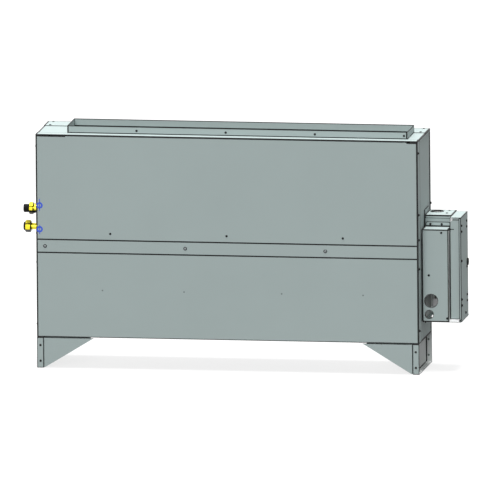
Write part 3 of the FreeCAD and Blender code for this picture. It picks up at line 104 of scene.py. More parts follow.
def linear(hex_colour):
    """An sRGB hex colour as the linear numbers that a shader takes."""
    levels = [int(hex_colour[start:start + 2], 16) / 255 for start in (1, 3, 5)]
    return [c / 12.92 if c <= 0.04045 else ((c + 0.055) / 1.055) ** 2.4 for c in levels] + [1]


def mm(*numbers):
    """Millimetres as a vector in metres."""
    return Vector(numbers) * MM


def add(tree, kind, settings=None, **inputs):
    """Add a node. Inputs are socket names with _ for a space, or i0, i1 for a socket's number.

    Each input is a value, or the socket of another node that feeds it.
    """
    node = tree.nodes.new(kind)
    for key, setting in (settings or {}).items():
        setattr(node, key, setting)
    for key, item in inputs.items():
        is_number = key[0] == "i" and key[1:].isdigit()
        socket = node.inputs[int(key[1:]) if is_number else key.replace("_", " ")]
        if isinstance(item, bpy.types.NodeSocket):
            tree.links.new(item, socket)
        else:
            socket.default_value = item
    return node


def calculate(tree, operation, *values):
    """The result of a Math node."""
    inputs = {f"i{k}": value for k, value in enumerate(values)}
    return add(tree, "ShaderNodeMath", {"operation": operation}, **inputs).outputs[0]


def calculate_vector(tree, operation, *values):
    """The result of a Vector Math node, which is a number for a length."""
    inputs = {f"i{k}": value for k, value in enumerate(values)}
    node = add(tree, "ShaderNodeVectorMath", {"operation": operation}, **inputs)
    return node.outputs["Value" if operation == "LENGTH" else "Vector"]


def ranged(tree, value, low, high, start=0.0, end=1.0):
    """low to high as a value goes from start to end, and no further either way."""
    return add(tree, "ShaderNodeMapRange", Value=value, From_Min=start, From_Max=end,
               To_Min=low, To_Max=high).outputs[0]


# Camera, lamps and floor

def set_camera():
    """A parallel camera that sees the unit where the photograph does."""
    sin_a, cos_a = math.sin(VIEW_AZIMUTH), math.cos(VIEW_AZIMUTH)
    sin_e, cos_e = math.sin(VIEW_ELEVATION), math.cos(VIEW_ELEVATION)
    back = Vector((sin_a * cos_e, -cos_a * cos_e, sin_e))
    right = Vector((cos_a, sin_a, 0))
    up = back.cross(right)
    turned_right = math.cos(VIEW_ROLL) * right + math.sin(VIEW_ROLL) * up
    turned_up = math.cos(VIEW_ROLL) * up - math.sin(VIEW_ROLL) * right
    middle = IMAGE_WIDE / 2
    across = (middle - FRONT_MIDDLE_PIXEL[0]) / PIXELS_PER_METRE
    upward = (FRONT_MIDDLE_PIXEL[1] - middle) / PIXELS_PER_METRE
    aim = FRONT_MIDDLE + across * turned_right + upward * turned_up
    data = bpy.data.cameras.new("photo_view")
    data.type = "ORTHO"
    data.ortho_scale = IMAGE_WIDE / PIXELS_PER_METRE
    camera = bpy.data.objects.new("photo_view", data)
    axes = Matrix((turned_right, turned_up, back)).transposed()
    camera.matrix_world = Matrix.Translation(aim + back * VIEW_DISTANCE) @ axes.to_4x4()
    bpy.context.scene.collection.objects.link(camera)
    bpy.context.scene.camera = camera


def add_sun(name, azimuth, elevation, strength, softness):
    """A soft lamp from a direction in degrees; azimuth 0 is the front, 90 the right."""
    data = bpy.data.lights.new(name, "SUN")
    data.energy = strength * math.pi
    data.angle = math.radians(softness)
    lamp = bpy.data.objects.new(name, data)
    a, e = math.radians(azimuth), math.radians(elevation)
    towards = Vector((math.sin(a) * math.cos(e), -math.cos(a) * math.cos(e), math.sin(e)))
    lamp.rotation_mode = "QUATERNION"
    lamp.rotation_quaternion = towards.to_track_quat("Z", "Y")
    bpy.context.scene.collection.objects.link(lamp)


def seen_ray(tree):
    """1 where a camera or a glossy surface looks, and 0 for the light that a surface gathers."""
    path = add(tree, "ShaderNodeLightPath")
    return calculate(tree, "MAXIMUM", path.outputs["Is Camera Ray"], path.outputs["Is Glossy Ray"])


def set_studio():
    """Soft lamps, a white surround and a white floor that still takes the shadow."""
    add_sun("overhead_lamp", azimuth=90, elevation=87, strength=1.45, softness=24)
    add_sun("front_lamp", azimuth=-4, elevation=18, strength=0.60, softness=30)
    add_sun("rear_fill", azimuth=205, elevation=35, strength=0.25, softness=60)
    world = bpy.data.worlds.new("white_room")
    bpy.context.scene.world = world
    world.use_nodes = True
    tree = world.node_tree
    tree.nodes.clear()
    # The room lights the unit less than it shows, which leaves the lamps their contrast
    level = ranged(tree, seen_ray(tree), 0.34, 1.0)
    light = add(tree, "ShaderNodeBackground", Color=linear("#FFFFFF"), Strength=level)
    add(tree, "ShaderNodeOutputWorld", Surface=light.outputs[0])

    material = bpy.data.materials.new("white_floor")
    material.use_nodes = True
    tree = material.node_tree
    tree.nodes.clear()
    # A darker floor for gathered light keeps its bounce off the legs
    seen = seen_ray(tree)
    tone = add(tree, "ShaderNodeMix", {"data_type": "RGBA"}, Factor=seen,
               i6=linear("#5E5E5E"), i7=linear("#F8F8F8"))
    paint = add(tree, "ShaderNodeBsdfDiffuse", Color=tone.outputs[2])
    white = add(tree, "ShaderNodeEmission", Color=linear("#FFFFFF"), Strength=1.0)
    glow_share = calculate(tree, "MULTIPLY", seen, 0.8)
    surface = add(tree, "ShaderNodeMixShader", i0=glow_share, i1=paint.outputs[0],
                  i2=white.outputs[0])
    add(tree, "ShaderNodeOutputMaterial", Surface=surface.outputs[0])
    mesh = bpy.data.meshes.new("floor")
    half = 20  # metres, past what any view shows
    mesh.from_pydata([(-half, -half, 0), (half, -half, 0), (half, half, 0), (-half, half, 0)],
                     [], [(0, 1, 2, 3)])
    mesh.materials.append(material)
    floor = bpy.data.objects.new("floor", mesh)
    bpy.context.scene.collection.objects.link(floor)
    bpy.context.scene.view_settings.view_transform = "Standard"


# Materials

def new_material(name, **shader_inputs):
    """A material with one Principled shader, and its tree and shader to build on."""
    material = bpy.data.materials.new(name)
    material.use_nodes = True
    tree = material.node_tree
    tree.nodes.clear()
    shader = add(tree, "ShaderNodeBsdfPrincipled", **shader_inputs)
    add(tree, "ShaderNodeOutputMaterial", Surface=shader.outputs[0])
    return material, tree, shader


def feed(tree, node, **sources):
    """Link sockets to a node's inputs, named with _ for a space."""
    for key, source in sources.items():
        tree.links.new(source, node.inputs[key.replace("_", " ")])


def place(tree):
    """The point that is painted, in metres in its piece's own frame."""
    return add(tree, "ShaderNodeTexCoord").outputs["Object"]


def shaded(tree, colour, factor, low, high):
    """A colour that a grain's factor varies between low and high times itself."""
    shade = ranged(tree, factor, low, high, 0.3, 0.7)
    return add(tree, "ShaderNodeVectorMath", {"operation": "SCALE"}, i0=linear(colour)[:3],
               Scale=shade).outputs[0]


def relief_of(tree, height, strength, distance):
    """The normal of a surface that a grain raises by up to a distance in metres."""
    return add(tree, "ShaderNodeBump", Strength=strength, Distance=distance,
               Height=height).outputs[0]


def painted_over(tree, under, mask, colour):
    """A colour laid over another where a mask is 1."""
    return add(tree, "ShaderNodeMix", {"data_type": "RGBA"}, Factor=mask, i6=under,
               i7=linear(colour)).outputs[2]


def box_edges(tree, low, high, wide):
    """1 within wide of the edges of a box, on any of its faces, and 0 elsewhere."""
    where = place(tree)
    low, high = [[n * MM for n in corner] for corner in (low, high)]
    from_low = calculate_vector(tree, "ABSOLUTE", calculate_vector(tree, "SUBTRACT", where, low))
    from_high = calculate_vector(tree, "ABSOLUTE", calculate_vector(tree, "SUBTRACT", high, where))
    near = calculate_vector(tree, "MINIMUM", from_low, from_high)
    x, y, z = add(tree, "ShaderNodeSeparateXYZ", Vector=near).outputs
    # The second smallest of the three says how far an edge is
    smaller = calculate(tree, "MINIMUM", x, y)
    larger = calculate(tree, "MAXIMUM", x, y)
    second = calculate(tree, "MAXIMUM", smaller, calculate(tree, "MINIMUM", larger, z))
    return ranged(tree, second, 1.0, 0.0, wide * 0.9 * MM, wide * 1.1 * MM)


def past_box(tree, low, high):
    """How far a point is past a box's faces along x, y and z, negative where it is within them."""
    middle = [(a + b) / 2 * MM for a, b in zip(low, high)]
    half = [(b - a) / 2 * MM for a, b in zip(low, high)]
    away = calculate_vector(tree, "SUBTRACT", place(tree), middle)
    return calculate_vector(tree, "SUBTRACT", calculate_vector(tree, "ABSOLUTE", away), half)


def within_box(tree, low, high):
    """1 inside a box and 0 outside it."""
    x, y, z = add(tree, "ShaderNodeSeparateXYZ", Vector=past_box(tree, low, high)).outputs
    most = calculate(tree, "MAXIMUM", calculate(tree, "MAXIMUM", x, y), z)
    return calculate(tree, "LESS_THAN", most, 0.0)


def rounded_edge(tree, low, high, corner, wide):
    """1 from wide within the outline of a plate that faces the front with rounded corners."""
    low = (low[0] + corner, -FAR, low[2] + corner)
    high = (high[0] - corner, FAR, high[2] - corner)
    beyond = calculate_vector(tree, "MAXIMUM", past_box(tree, low, high), (0, 0, 0))
    reach = calculate_vector(tree, "LENGTH", beyond)
    return calculate(tree, "GREATER_THAN", reach, (corner - wide) * MM)


def coated_sheet(name, boxes, tabs=(), slots=(), painted_light_boxes=()):
    """Steel sheet with a factory baked coat: satin, with a faint orange peel.

    Its folds and cut edges show as black lines, as they do in the photograph. They follow the
    edges of boxes, each a low corner, a high corner and the width of its lines, and of tabs,
    which have a corner radius before the width. slots are boxes in which faces are black all
    over. The boxes that the sheet encloses, its last argument, are painted white within them:
    painted light where shade falls in its hollows and holes. Later ones cover earlier ones:
    lines, then the enclosed boxes, then slots.
    """
    material, tree, shader = new_material(name, Metallic=0.0, IOR=1.5, Specular_IOR_Level=0.3)
    where = place(tree)
    cloud = add(tree, "ShaderNodeTexNoise", Vector=where, Scale=5.0, Detail=3.0).outputs[0]
    peel = add(tree, "ShaderNodeTexNoise", Vector=where, Scale=450.0, Detail=2.0).outputs[0]
    paint = shaded(tree, SHEET_GREY, cloud, 0.98, 1.02)
    covers = [(box_edges(tree, *box), EDGE_BLACK) for box in boxes]
    covers += [(rounded_edge(tree, *tab), EDGE_BLACK) for tab in tabs]
    # Painted light: white on faces in the enclosed boxes, where shade falls
    covers += [(within_box(tree, *box), PAINTED_LIGHT_WHITE) for box in painted_light_boxes]
    covers += [(within_box(tree, *slot), EDGE_BLACK) for slot in slots]
    for mask, colour in covers:
        paint = painted_over(tree, paint, mask, colour)
    feed(tree, shader, Base_Color=paint, Roughness=ranged(tree, cloud, 0.6, 0.7),
         Normal=relief_of(tree, peel, 0.05, 0.0004))
    return material


def grained(name, colour, rough, grain_mm, relief=0.1, metallic=0.0, spread=0.08,
            stretch=(1, 1, 1), gloss=0.5):
    """A moulded, turned or painted finish: an even grain that varies colour, gloss and relief.

    grain_mm is the size of the grain, and stretch lengthens it along x, y or z as brushing does.
    """
    material, tree, shader = new_material(name, Metallic=metallic, Specular_IOR_Level=gloss)
    where = add(tree, "ShaderNodeMapping", {"vector_type": "POINT"}, Vector=place(tree),
                Scale=[1 / factor for factor in stretch])
    grain = add(tree, "ShaderNodeTexNoise", Vector=where.outputs[0], Scale=1 / (grain_mm * MM),
                Detail=3.0).outputs[0]
    feed(tree, shader, Base_Color=shaded(tree, colour, grain, 1 - spread, 1 + spread),
         Roughness=ranged(tree, grain, rough - 0.07, rough + 0.07),
         Normal=relief_of(tree, grain, relief, 0.0003))
    return material


def turned_brass(name, centre, ends, painted_shade_below, corner=FAR):
    """Turned brass: bright lemon yellow, with rings left by the tool.

    Dark lines follow its ends, which are places along x from the centre, and the corners of a
    hexagon that lies along x. Below a level it is painted dark as shade on its lower side, as in
    the photograph.
    """
    material = grained(name, "#E2D238", 0.30, 1.2, 0.08, metallic=1.0, stretch=(1, 12, 12))
    tree = material.node_tree
    base = next(link for link in tree.links if link.to_socket.name == "Base Color")
    away = calculate_vector(tree, "SUBTRACT", place(tree), mm(*centre))
    x, y, z = add(tree, "ShaderNodeSeparateXYZ", Vector=away).outputs
    across = add(tree, "ShaderNodeCombineXYZ", Y=y, Z=z)
    reach = calculate_vector(tree, "LENGTH", across.outputs[0])
    masks = [calculate(tree, "GREATER_THAN", reach, (corner - 0.8) * MM)]
    masks += [calculate(tree, "COMPARE", x, end * MM, 1.3 * MM) for end in ends]
    # Painted shade: dark below a level, on the lower side
    masks.append(ranged(tree, z, 1.0, 0.0, (painted_shade_below - 1) * MM, (painted_shade_below + 1) * MM))
    colour, target = base.from_socket, base.to_socket
    for mask in masks:
        colour = painted_over(tree, colour, mask, EDGE_BLACK)
    tree.links.new(colour, target)
    return material


def galvanised_sheet():
    """Hot dipped galvanised steel: dull zinc with large pale and dark crystals."""
    material, tree, shader = new_material("galvanised_sheet", Metallic=0.9)
    spangle = add(tree, "ShaderNodeTexVoronoi", Vector=place(tree), Scale=110.0)
    level = add(tree, "ShaderNodeSeparateColor", Color=spangle.outputs["Color"])
    feed(tree, shader, Base_Color=shaded(tree, "#B4B9BB", level.outputs[0], 0.86, 1.08),
         Roughness=ranged(tree, level.outputs[1], 0.34, 0.54))
    return material


def circuit_board():
    """Green solder mask over copper tracks."""
    material, tree, shader = new_material("circuit_board", Metallic=0.0)
    where = add(tree, "ShaderNodeMapping", Vector=place(tree), Rotation=(math.radians(90), 0, 0))
    tracks = add(tree, "ShaderNodeTexBrick", Vector=where.outputs[0], Scale=90.0,
                 Color1=linear("#1F5A35"), Color2=linear("#256B40"), Mortar=linear("#3E8B55"))
    feed(tree, shader, Base_Color=tracks.outputs[0],
         Roughness=ranged(tree, tracks.outputs[1], 0.3, 0.45))
    return material


def dress(material, *names):
    """Give CAD nodes a material."""
    for name in names:
        mesh = CAD_NODES[name].data
        mesh.materials.clear()
        mesh.materials.append(material)


# Shapes

def settle(piece, body, slot, *replaced):
    """Let a piece ride on a body in place of the CAD nodes it stands for. slot is not used."""
    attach(piece, body)
    if replaced:
        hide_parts(*replaced)


def make_piece(name, shapes, material, sharp_from=35):
    """One object from meshes of (vertices, faces), in metres, with faces pointing outwards."""
    joined = bmesh.new()
    for vertices, faces in shapes:
        corners = [joined.verts.new(vertex) for vertex in vertices]
        for face in faces:
            joined.faces.new([corners[index] for index in face])
    bmesh.ops.recalc_face_normals(joined, faces=joined.faces)
    mesh = bpy.data.meshes.new(name)
    joined.to_mesh(mesh)
    joined.free()
    mesh.shade_smooth()
    mesh.set_sharp_from_angle(angle=math.radians(sharp_from))
    mesh.materials.append(material)
    piece = bpy.data.objects.new(name, mesh)
    bpy.context.scene.collection.objects.link(piece)
    return piece


def turned(profile, centre=(0, 0, 0), axis=(0, 0, 1), sides=40, flats=None, closed=False):
    """A profile of (along, radius) points turned about an axis through centre.

    flats is half the distance across the flats of a hexagon that limits the radius, with a
    corner straight up. A closed profile makes a ring; an open one gets a flat face at each end.
    """
    along = Vector(axis).normalized()
    first = Vector((0, 0, 1)) if abs(along.z) < 0.9 else Vector((0, 1, 0))
    second = along.cross(first)
    vertices, faces = [], []
    for distance, radius in profile:
        for k in range(sides):
            angle = 2 * math.pi * k / sides
            reach = radius
            if flats:
                reach = min(radius, flats / math.cos((angle % (math.pi / 3)) - math.pi / 6))
            spot = along * distance + (first * math.cos(angle) + second * math.sin(angle)) * reach
            vertices.append((Vector(centre) + spot) * MM)
    count = len(profile)
    for ring in range(count if closed else count - 1):
        for k in range(sides):
            here, there, side = ring * sides, (ring + 1) % count * sides, (k + 1) % sides
            faces.append((here + k, here + side, there + side, there + k))
    if not closed:
        faces += [tuple(range(sides)), tuple(range((count - 1) * sides, count * sides))]
    return vertices, faces


def plate(low, high):
    """A thin box between two corners."""
    corners = [mm(x, y, z) for x in (low[0], high[0]) for y in (low[1], high[1])
               for z in (low[2], high[2])]
    return corners, [(0, 1, 3, 2), (4, 6, 7, 5), (0, 4, 5, 1), (2, 3, 7, 6), (0, 2, 6, 4),
                     (1, 5, 7, 3)]


def leaned(x, y, z):
    """A point of the coil's own frame, put where the leaning coil has it, in metres."""
    sin, cos = math.sin(COIL_LEAN), math.cos(COIL_LEAN)
    return mm(x, COIL_START[0] + y * cos + z * sin, COIL_START[1] - y * sin + z * cos)


def tubes(name, routes, material):
    """Round tubes, each with a radius and the points that it follows, which are in metres."""
    curve = bpy.data.curves.new(name, "CURVE")
    curve.dimensions = "3D"
    curve.bevel_depth = MM
    curve.bevel_resolution = 5
    curve.use_fill_caps = True
    for radius, points in routes:
        spline = curve.splines.new("POLY")
        spline.points.add(len(points) - 1)
        for point, spot in zip(spline.points, points):
            point.co = (*spot, 1)
            point.radius = radius
    source = bpy.data.objects.new(name + "_routes", curve)
    piece = plain_copy(source, name)
    piece.data.materials.append(material)
    return piece


def plain_copy(source, name):
    """What a curve or a modifier makes, as a plain mesh object, with the source removed."""
    bpy.context.scene.collection.objects.link(source)
    evaluated = source.evaluated_get(bpy.context.evaluated_depsgraph_get())
    mesh = bpy.data.meshes.new_from_object(evaluated)
    mesh.name = name
    bpy.data.objects.remove(source)
    piece = bpy.data.objects.new(name, mesh)
    bpy.context.scene.collection.objects.link(piece)
    return piece


def new_tree(name, **sockets):
    """A Geometry Nodes tree with named inputs, and its input node."""
    tree = bpy.data.node_groups.new(name, "GeometryNodeTree")
    tree.interface.new_socket("Geometry", in_out="OUTPUT", socket_type="NodeSocketGeometry")
    for label, kind in sockets.items():
        tree.interface.new_socket(label, in_out="INPUT", socket_type="NodeSocket" + kind)
    return tree, add(tree, "NodeGroupInput").outputs


def end_tree(tree, instances, finish):
    """Make instances real and give them a finish, as the tree's result."""
    whole = add(tree, "GeometryNodeRealizeInstances", Geometry=instances)
    covered = add(tree, "GeometryNodeSetMaterial", Geometry=whole.outputs[0], Material=finish)
    add(tree, "NodeGroupOutput", Geometry=covered.outputs[0])


def grow(name, tree, mesh=None, **values):
    """Run a Geometry Nodes tree with its inputs set, and keep the result as a plain mesh."""
    mesh = mesh or bpy.data.meshes.new(name + "_source")
    source = bpy.data.objects.new(name + "_source", mesh)
    modifier = source.modifiers.new("grow", "NODES")
    modifier.node_group = tree
    for item in tree.interface.items_tree:
        if item.name in values:
            modifier[item.identifier] = values[item.name]
    return plain_copy(source, name)


def copies_tree():
    """Copies of one shape on points, each turned so that its z axis follows the point's own."""
    tree, inputs = new_tree("copies_on_points", Places="Geometry", Shape="Object",
                            Finish="Material")
    shape = add(tree, "GeometryNodeObjectInfo", Object=inputs["Shape"])
    outward = add(tree, "GeometryNodeInputNamedAttribute", {"data_type": "FLOAT_VECTOR"},
                  Name="outward")
    turn = add(tree, "FunctionNodeAlignRotationToVector", {"axis": "Z"},
               Vector=outward.outputs[0])
    copies = add(tree, "GeometryNodeInstanceOnPoints", Points=inputs["Places"],
                 Instance=shape.outputs["Geometry"], Rotation=turn.outputs[0])
    end_tree(tree, copies.outputs[0], inputs["Finish"])
    return tree


def row_tree():
    """A row of thin plates, one pitch apart."""
    tree, inputs = new_tree("row_of_plates", Start="Vector", Pitch="Vector", Count="Int",
                            Plate="Vector", Turn="Rotation", Finish="Material")
    row = add(tree, "GeometryNodeMeshLine", {"mode": "OFFSET"}, Count=inputs["Count"],
              Start_Location=inputs["Start"], Offset=inputs["Pitch"])
    thin = add(tree, "GeometryNodeMeshCube", Size=inputs["Plate"])
    copies = add(tree, "GeometryNodeInstanceOnPoints", Points=row.outputs[0],
                 Instance=thin.outputs[0], Rotation=inputs["Turn"])
    end_tree(tree, copies.outputs[0], inputs["Finish"])
    return tree


def ring_tree():
    """Blades set round the x axis."""
    tree, inputs = new_tree("ring_of_blades", Blade="Object", Count="Int", Centre="Vector",
                            Finish="Material")
    spots = add(tree, "GeometryNodeMeshLine", {"mode": "OFFSET"}, Count=inputs["Count"],
                Start_Location=inputs["Centre"], Offset=(0, 0, 0))
    step = calculate(tree, "DIVIDE", 2 * math.pi, inputs["Count"])
    index = add(tree, "GeometryNodeInputIndex").outputs[0]
    turn = add(tree, "ShaderNodeCombineXYZ", X=calculate(tree, "MULTIPLY", index, step))
    shape = add(tree, "GeometryNodeObjectInfo", Object=inputs["Blade"])
    copies = add(tree, "GeometryNodeInstanceOnPoints", Points=spots.outputs[0],
                 Instance=shape.outputs["Geometry"], Rotation=turn.outputs[0])
    end_tree(tree, copies.outputs[0], inputs["Finish"])
    return tree


def lumps_of(name):
    """The separate lumps of a CAD node, each a list of its corner points."""
    joined = bmesh.new()
    joined.from_mesh(CAD_NODES[name].data)
    bmesh.ops.remove_doubles(joined, verts=joined.verts, dist=0.01 * MM)
    waiting, lumps = set(joined.verts), []
    while waiting:
        stack, lump = [waiting.pop()], []
        while stack:
            corner = stack.pop()
            lump.append(corner.co.copy())
            others = [edge.other_vert(corner) for edge in corner.link_edges]
            stack += [other for other in others if other in waiting]
            waiting.difference_update(others)
        lumps.append(lump)
    joined.free()
    return sorted(lumps, key=lambda lump: [round(n, 4) for n in min(tuple(spot) for spot in lump)])


def screw_place(lump):
    """The middle of a screw head's end face, and the direction that it looks in.

    That face is the widest of the lump's six ends.
    """
    widest = None
    for axis in range(3):
        for sign in (-1, 1):
            limit = max(sign * spot[axis] for spot in lump)
            end = [spot for spot in lump if sign * spot[axis] > limit - 0.1 * MM]
            middle = sum(end, Vector()) / len(end)
            spread = max((spot - middle).length for spot in end)
            if widest is None or spread > widest[0]:
                outward = Vector([sign if k == axis else 0 for k in range(3)])
                widest = (spread, middle, outward)
    return widest[1], widest[2]


def scatter(name, places, shape, material, depth=0):
    """Copies of a turned shape at places of (point, outward), which are depth out from its seat."""
    mesh = bpy.data.meshes.new(name + "_places")
    mesh.from_pydata([spot - outward * depth * MM for spot, outward in places], [], [])
    directions = mesh.attributes.new("outward", "FLOAT_VECTOR", "POINT")
    directions.data.foreach_set("vector", [n for _, outward in places for n in outward])
    model = make_piece(name + "_shape", [shape], material)
    piece = grow(name, COPIES, mesh, Shape=model, Finish=material)
    bpy.data.objects.remove(model)
    return piece


def on_side(side, low, high):
    """A box of the right side, or its mirror image where side is -1."""
    ends = sorted((side * low[0], side * high[0]))
    return (ends[0], *low[1:]), (ends[1], *high[1:])


def facing_front(spots, depth):
    """Places for scatter at points of (x, z), on faces at one depth that look forward."""
    return [(mm(x, depth, z), FORWARD) for x, z in spots]


COPIES, ROW, RING = copies_tree(), row_tree(), ring_tree()
set_camera()
set_studio()

# Casing: its lines follow its outline, its joints and the edges of its laps
outline = ((-HALF_WIDE, FRONT, LEG_HIGH), (HALF_WIDE, BACK, TOP), 4.8)
panel_joints = ((-FAR, FRONT, 353.4), (FAR, FAR, 393.4), 2.2)
side_laps = ((-HALF_WIDE, -78, -FAR), (HALF_WIDE, 106, FAR), 4.0)
top_laps = ((-FAR, -85, -FAR), (FAR, 40, TOP), 1.8)
# Painted shadow: black along each end of the front panel's top edge, over the slots there and just
# below them
corner_painted_shadows = [((-HALF_WIDE - 1, FRONT - 3, 708), (-494, FRONT + 2, TOP + 1)),
                ((551, FRONT - 3, 707), (HALF_WIDE + 1, FRONT + 2, TOP + 1))]
dress(coated_sheet("coated_casing_sheet", [outline, panel_joints, side_laps, top_laps],
                   slots=corner_painted_shadows),
      "front_upper_panel", "front_joint_rail", "front_lower_panel", "left_side_panel",
      "right_side_panel", "rear_panel", "top_frame_plate", "top_rear_cover", "base_pan")
collar = ((-493, COLLAR_FRONT, TOP), (548, COLLAR_BACK, 737), 2.2)
collar_corners = [((x, COLLAR_FRONT - 1, TOP), (x + 5, COLLAR_FRONT + 2, 738)) for x in (-494, 544)]
dress(coated_sheet("coated_collar_sheet", [collar], slots=collar_corners), "discharge_collar")

# Legs: black along the folds that the photograph lines, and white between their sheets, painted as
# light where shade falls
SLACK = 0.1  # makes the sheets' inner faces fall within a box
for side, end in ((-1, "left"), (1, "right")):
    channel = on_side(side, (LEG_WEB, FRONT, 0), (HALF_WIDE, BACK, LEG_HIGH))
    enclosed = LEG_SHEET - SLACK
    hollow = on_side(side, (LEG_WEB + enclosed, FRONT + enclosed, enclosed),
                     (HALF_WIDE + SLACK, BACK - enclosed, LEG_HIGH + SLACK))
    folds = [on_side(side, (566.3, 117.5, 0), (570, 118.6, 92)),
             on_side(side, (566.3, -118, 1.8), (570, 118, 2.2))]
    dress(coated_sheet(f"coated_{end}_leg", [(*channel, 2.0)], slots=folds, painted_light_boxes=[hollow]),
          f"{end}_leg")
    brace = on_side(side, (411.3, FRONT, -FAR), (564.2, FAR, LEG_HIGH))
    dress(coated_sheet(f"coated_{end}_gusset", [(*brace, 1.2)]), f"{end}_leg_gusset")

# Control box: the hollows behind the lid, in the shell, and between the lid and the side tray,
# painted white as light where shade falls
INSET = BOX_SHEET / 2
box_hollows = [((BOX_LEFT + INSET, LID_FRONT + INSET, BOX_LOW + INSET),
                (LID_RIGHT - INSET, BOX_FRONT + INSET, LID_HIGH - INSET)),
               ((BOX_LEFT + INSET, SHELL_FACE + INSET, BOX_LOW + INSET),
                (SHELL_RIGHT - INSET, BOX_BACK - INSET, BOX_HIGH - INSET)),
               ((666.6, -58.6, 156), (668, BOX_FRONT + INSET, 432))]
lid = ((BOX_LEFT, LID_FRONT, BOX_LOW), (LID_RIGHT, LID_FRONT + BOX_SHEET, LID_HIGH), 3.0)
lid_foot = ((BOX_LEFT - 1, LID_FRONT - 1, BOX_LOW - 1), (LID_RIGHT + 1, -58, 156))
dress(coated_sheet("coated_box_lid", [lid], slots=[lid_foot], painted_light_boxes=box_hollows),
      "control_box_lid")
surround = ((BOX_LEFT, -58.6, 153), (FAR, BOX_FRONT, LID_HIGH), 4.0)
tab = ((589, BOX_FRONT, 420), (664, BOX_FRONT, 450.5), 6, 1.8)
dress(coated_sheet("coated_box_surround", [surround], tabs=[tab], painted_light_boxes=box_hollows),
      "control_box_surround")
box_top = ((BOX_LEFT, BOX_FRONT, -FAR), (SHELL_RIGHT, BOX_BACK, BOX_HIGH), 4.0)
top_fold = ((BOX_LEFT, BOX_FRONT, 461), (FAR, FAR, FAR), 1.4)
dress(coated_sheet("coated_box_top", [box_top, top_fold]), "control_box_top")
shell = ((BOX_LEFT, -2.5, 153), (SHELL_RIGHT, BOX_BACK, 470), 2.2)
dress(coated_sheet("coated_box_shell", [shell], painted_light_boxes=box_hollows), "control_box_shell")
tray = ((TRAY_LEFT, TRAY_FRONT, 160), (TRAY_RIGHT, 72, BOX_HIGH), 1.8)
tray_seams = [((-FAR, -FAR, 462.7), (FAR, FAR, 465.3)),
              ((TRAY_LEFT - 1, TRAY_FRONT - 1, 433.6), (682, TRAY_FRONT + 1, 436.4))]
dress(coated_sheet("coated_box_tray", [tray], slots=tray_seams), "control_side_tray")
cover = ((698, -54, BOX_LOW), (COVER_RIGHT, 73.4, BOX_HIGH), 2.2)
dress(coated_sheet("coated_box_cover", [cover]), "control_side_cover")
straps = ((583.5, 4, -FAR), (BOX_LEFT, 80, FAR), 2.6)
strap_top = ((583, 3, 484), (586.5, 81, 486))
dress(coated_sheet("coated_box_straps", [straps], slots=[strap_top]), "control_box_straps")

# Blackened steel, as screws in coated sheet often are: it shows as dark dots, hardly shiny
black_screw = grained("blackened_screw_steel", "#0C0D0E", 0.6, 1.5, 0.05, gloss=0.25)
# Bright zinc plate of the joint rail's screws: bluish white metal, half gloss
pale_zinc = grained("bright_zinc_plate", "#868C8D", 0.38, 1.5, 0.05, metallic=0.7)
# The sheet's own coat, thicker and darker on the small turned heads of rivets and washers
mark_grey = grained("coated_rivet_head", "#6C7675", 0.45, 2.0, 0.05)
# The sheet's own coat on the pressed buttons, without the sheet's lines
coated_button = grained("coated_button", SHEET_GREY, 0.65, 2.0, 0.03, spread=0.02, gloss=0.3)
# Screen printed ink: an even, slightly glossy blue
blue_print = grained("printed_blue_mark", "#2C50C6", 0.55, 2.0, 0.02)
# Moulded black plastic: matt, with a fine spark eroded grain
black_cap = grained("moulded_black_plastic", "#0A0A09", 0.68, 0.8, 0.15, gloss=0.15)
# Moulded glass filled plastic of the wheels: dark and slightly silky
wheel_plastic = grained("moulded_wheel_plastic", "#25272A", 0.48, 2.0, 0.1)
# Ground steel shaft: bright, with fine marks round it
shaft_steel = grained("ground_shaft_steel", "#A8A9AA", 0.24, 0.6, 0.05, metallic=1.0,
                      stretch=(1, 10, 10))
# Sprayed black stove enamel of the motor shell: half gloss
motor_paint = grained("sprayed_motor_enamel", "#1A1B1D", 0.36, 3.0, 0.08)
# Moulded rubber: soft matt black, which also stands as painted shade in the gap over the legs and
# in open holes
rubber = grained("moulded_rubber_and_painted_shade", "#0F0F10", 0.78, 1.0, 0.2)
# Rolled aluminium foil of the fins: bright and thin
fin_foil = grained("rolled_fin_aluminium", "#C9CDCF", 0.36, 4.0, 0.05, metallic=1.0)
# Drawn copper tube: salmon pink, with darker clouds where it was brazed
copper = grained("drawn_copper_tube", "#C07A56", 0.34, 12.0, 0.05, metallic=1.0, spread=0.18)
# Extruded drain tube: pale grey plastic, faintly glossy
drain_plastic = grained("extruded_pale_plastic", "#CBCBC6", 0.42, 5.0, 0.05, spread=0.03)
# Moulded filter frame and woven net: dark plastic
filter_plastic = grained("moulded_filter_plastic", "#2A2D30", 0.5, 1.2, 0.12)
net_plastic = grained("woven_net_plastic", "#4A4D50", 0.6, 0.5, 0.1)
# Moulded cream terminal block, and the pale case of the film capacitor, whose pale also paints
# light on the box's folds
block_plastic = grained("moulded_cream_plastic", "#CFC8AE", 0.45, 1.0, 0.08)
capacitor_case_and_painted_light = grained("moulded_capacitor_case_and_painted_light", "#D9DADB", 0.4, 1.0, 0.05, spread=0.03)

dress(galvanised_sheet(), "fan_deck", "left_fan_housing", "right_fan_housing", "motor_cradle",
      "coil_left_plate", "coil_right_plate", "coil_baffle", "left_filter_runner",
      "right_filter_runner", "filter_stop", "drain_pan")
dress(black_screw, "leg_bolts")
dress(shaft_steel, "fan_shaft")
dress(drain_plastic, "drain_pipe")
dress(filter_plastic, "filter_frame")
dress(circuit_board(), "control_board")
dress(block_plastic, "terminal_block")
dress(capacitor_case_and_painted_light, "fan_capacitor")

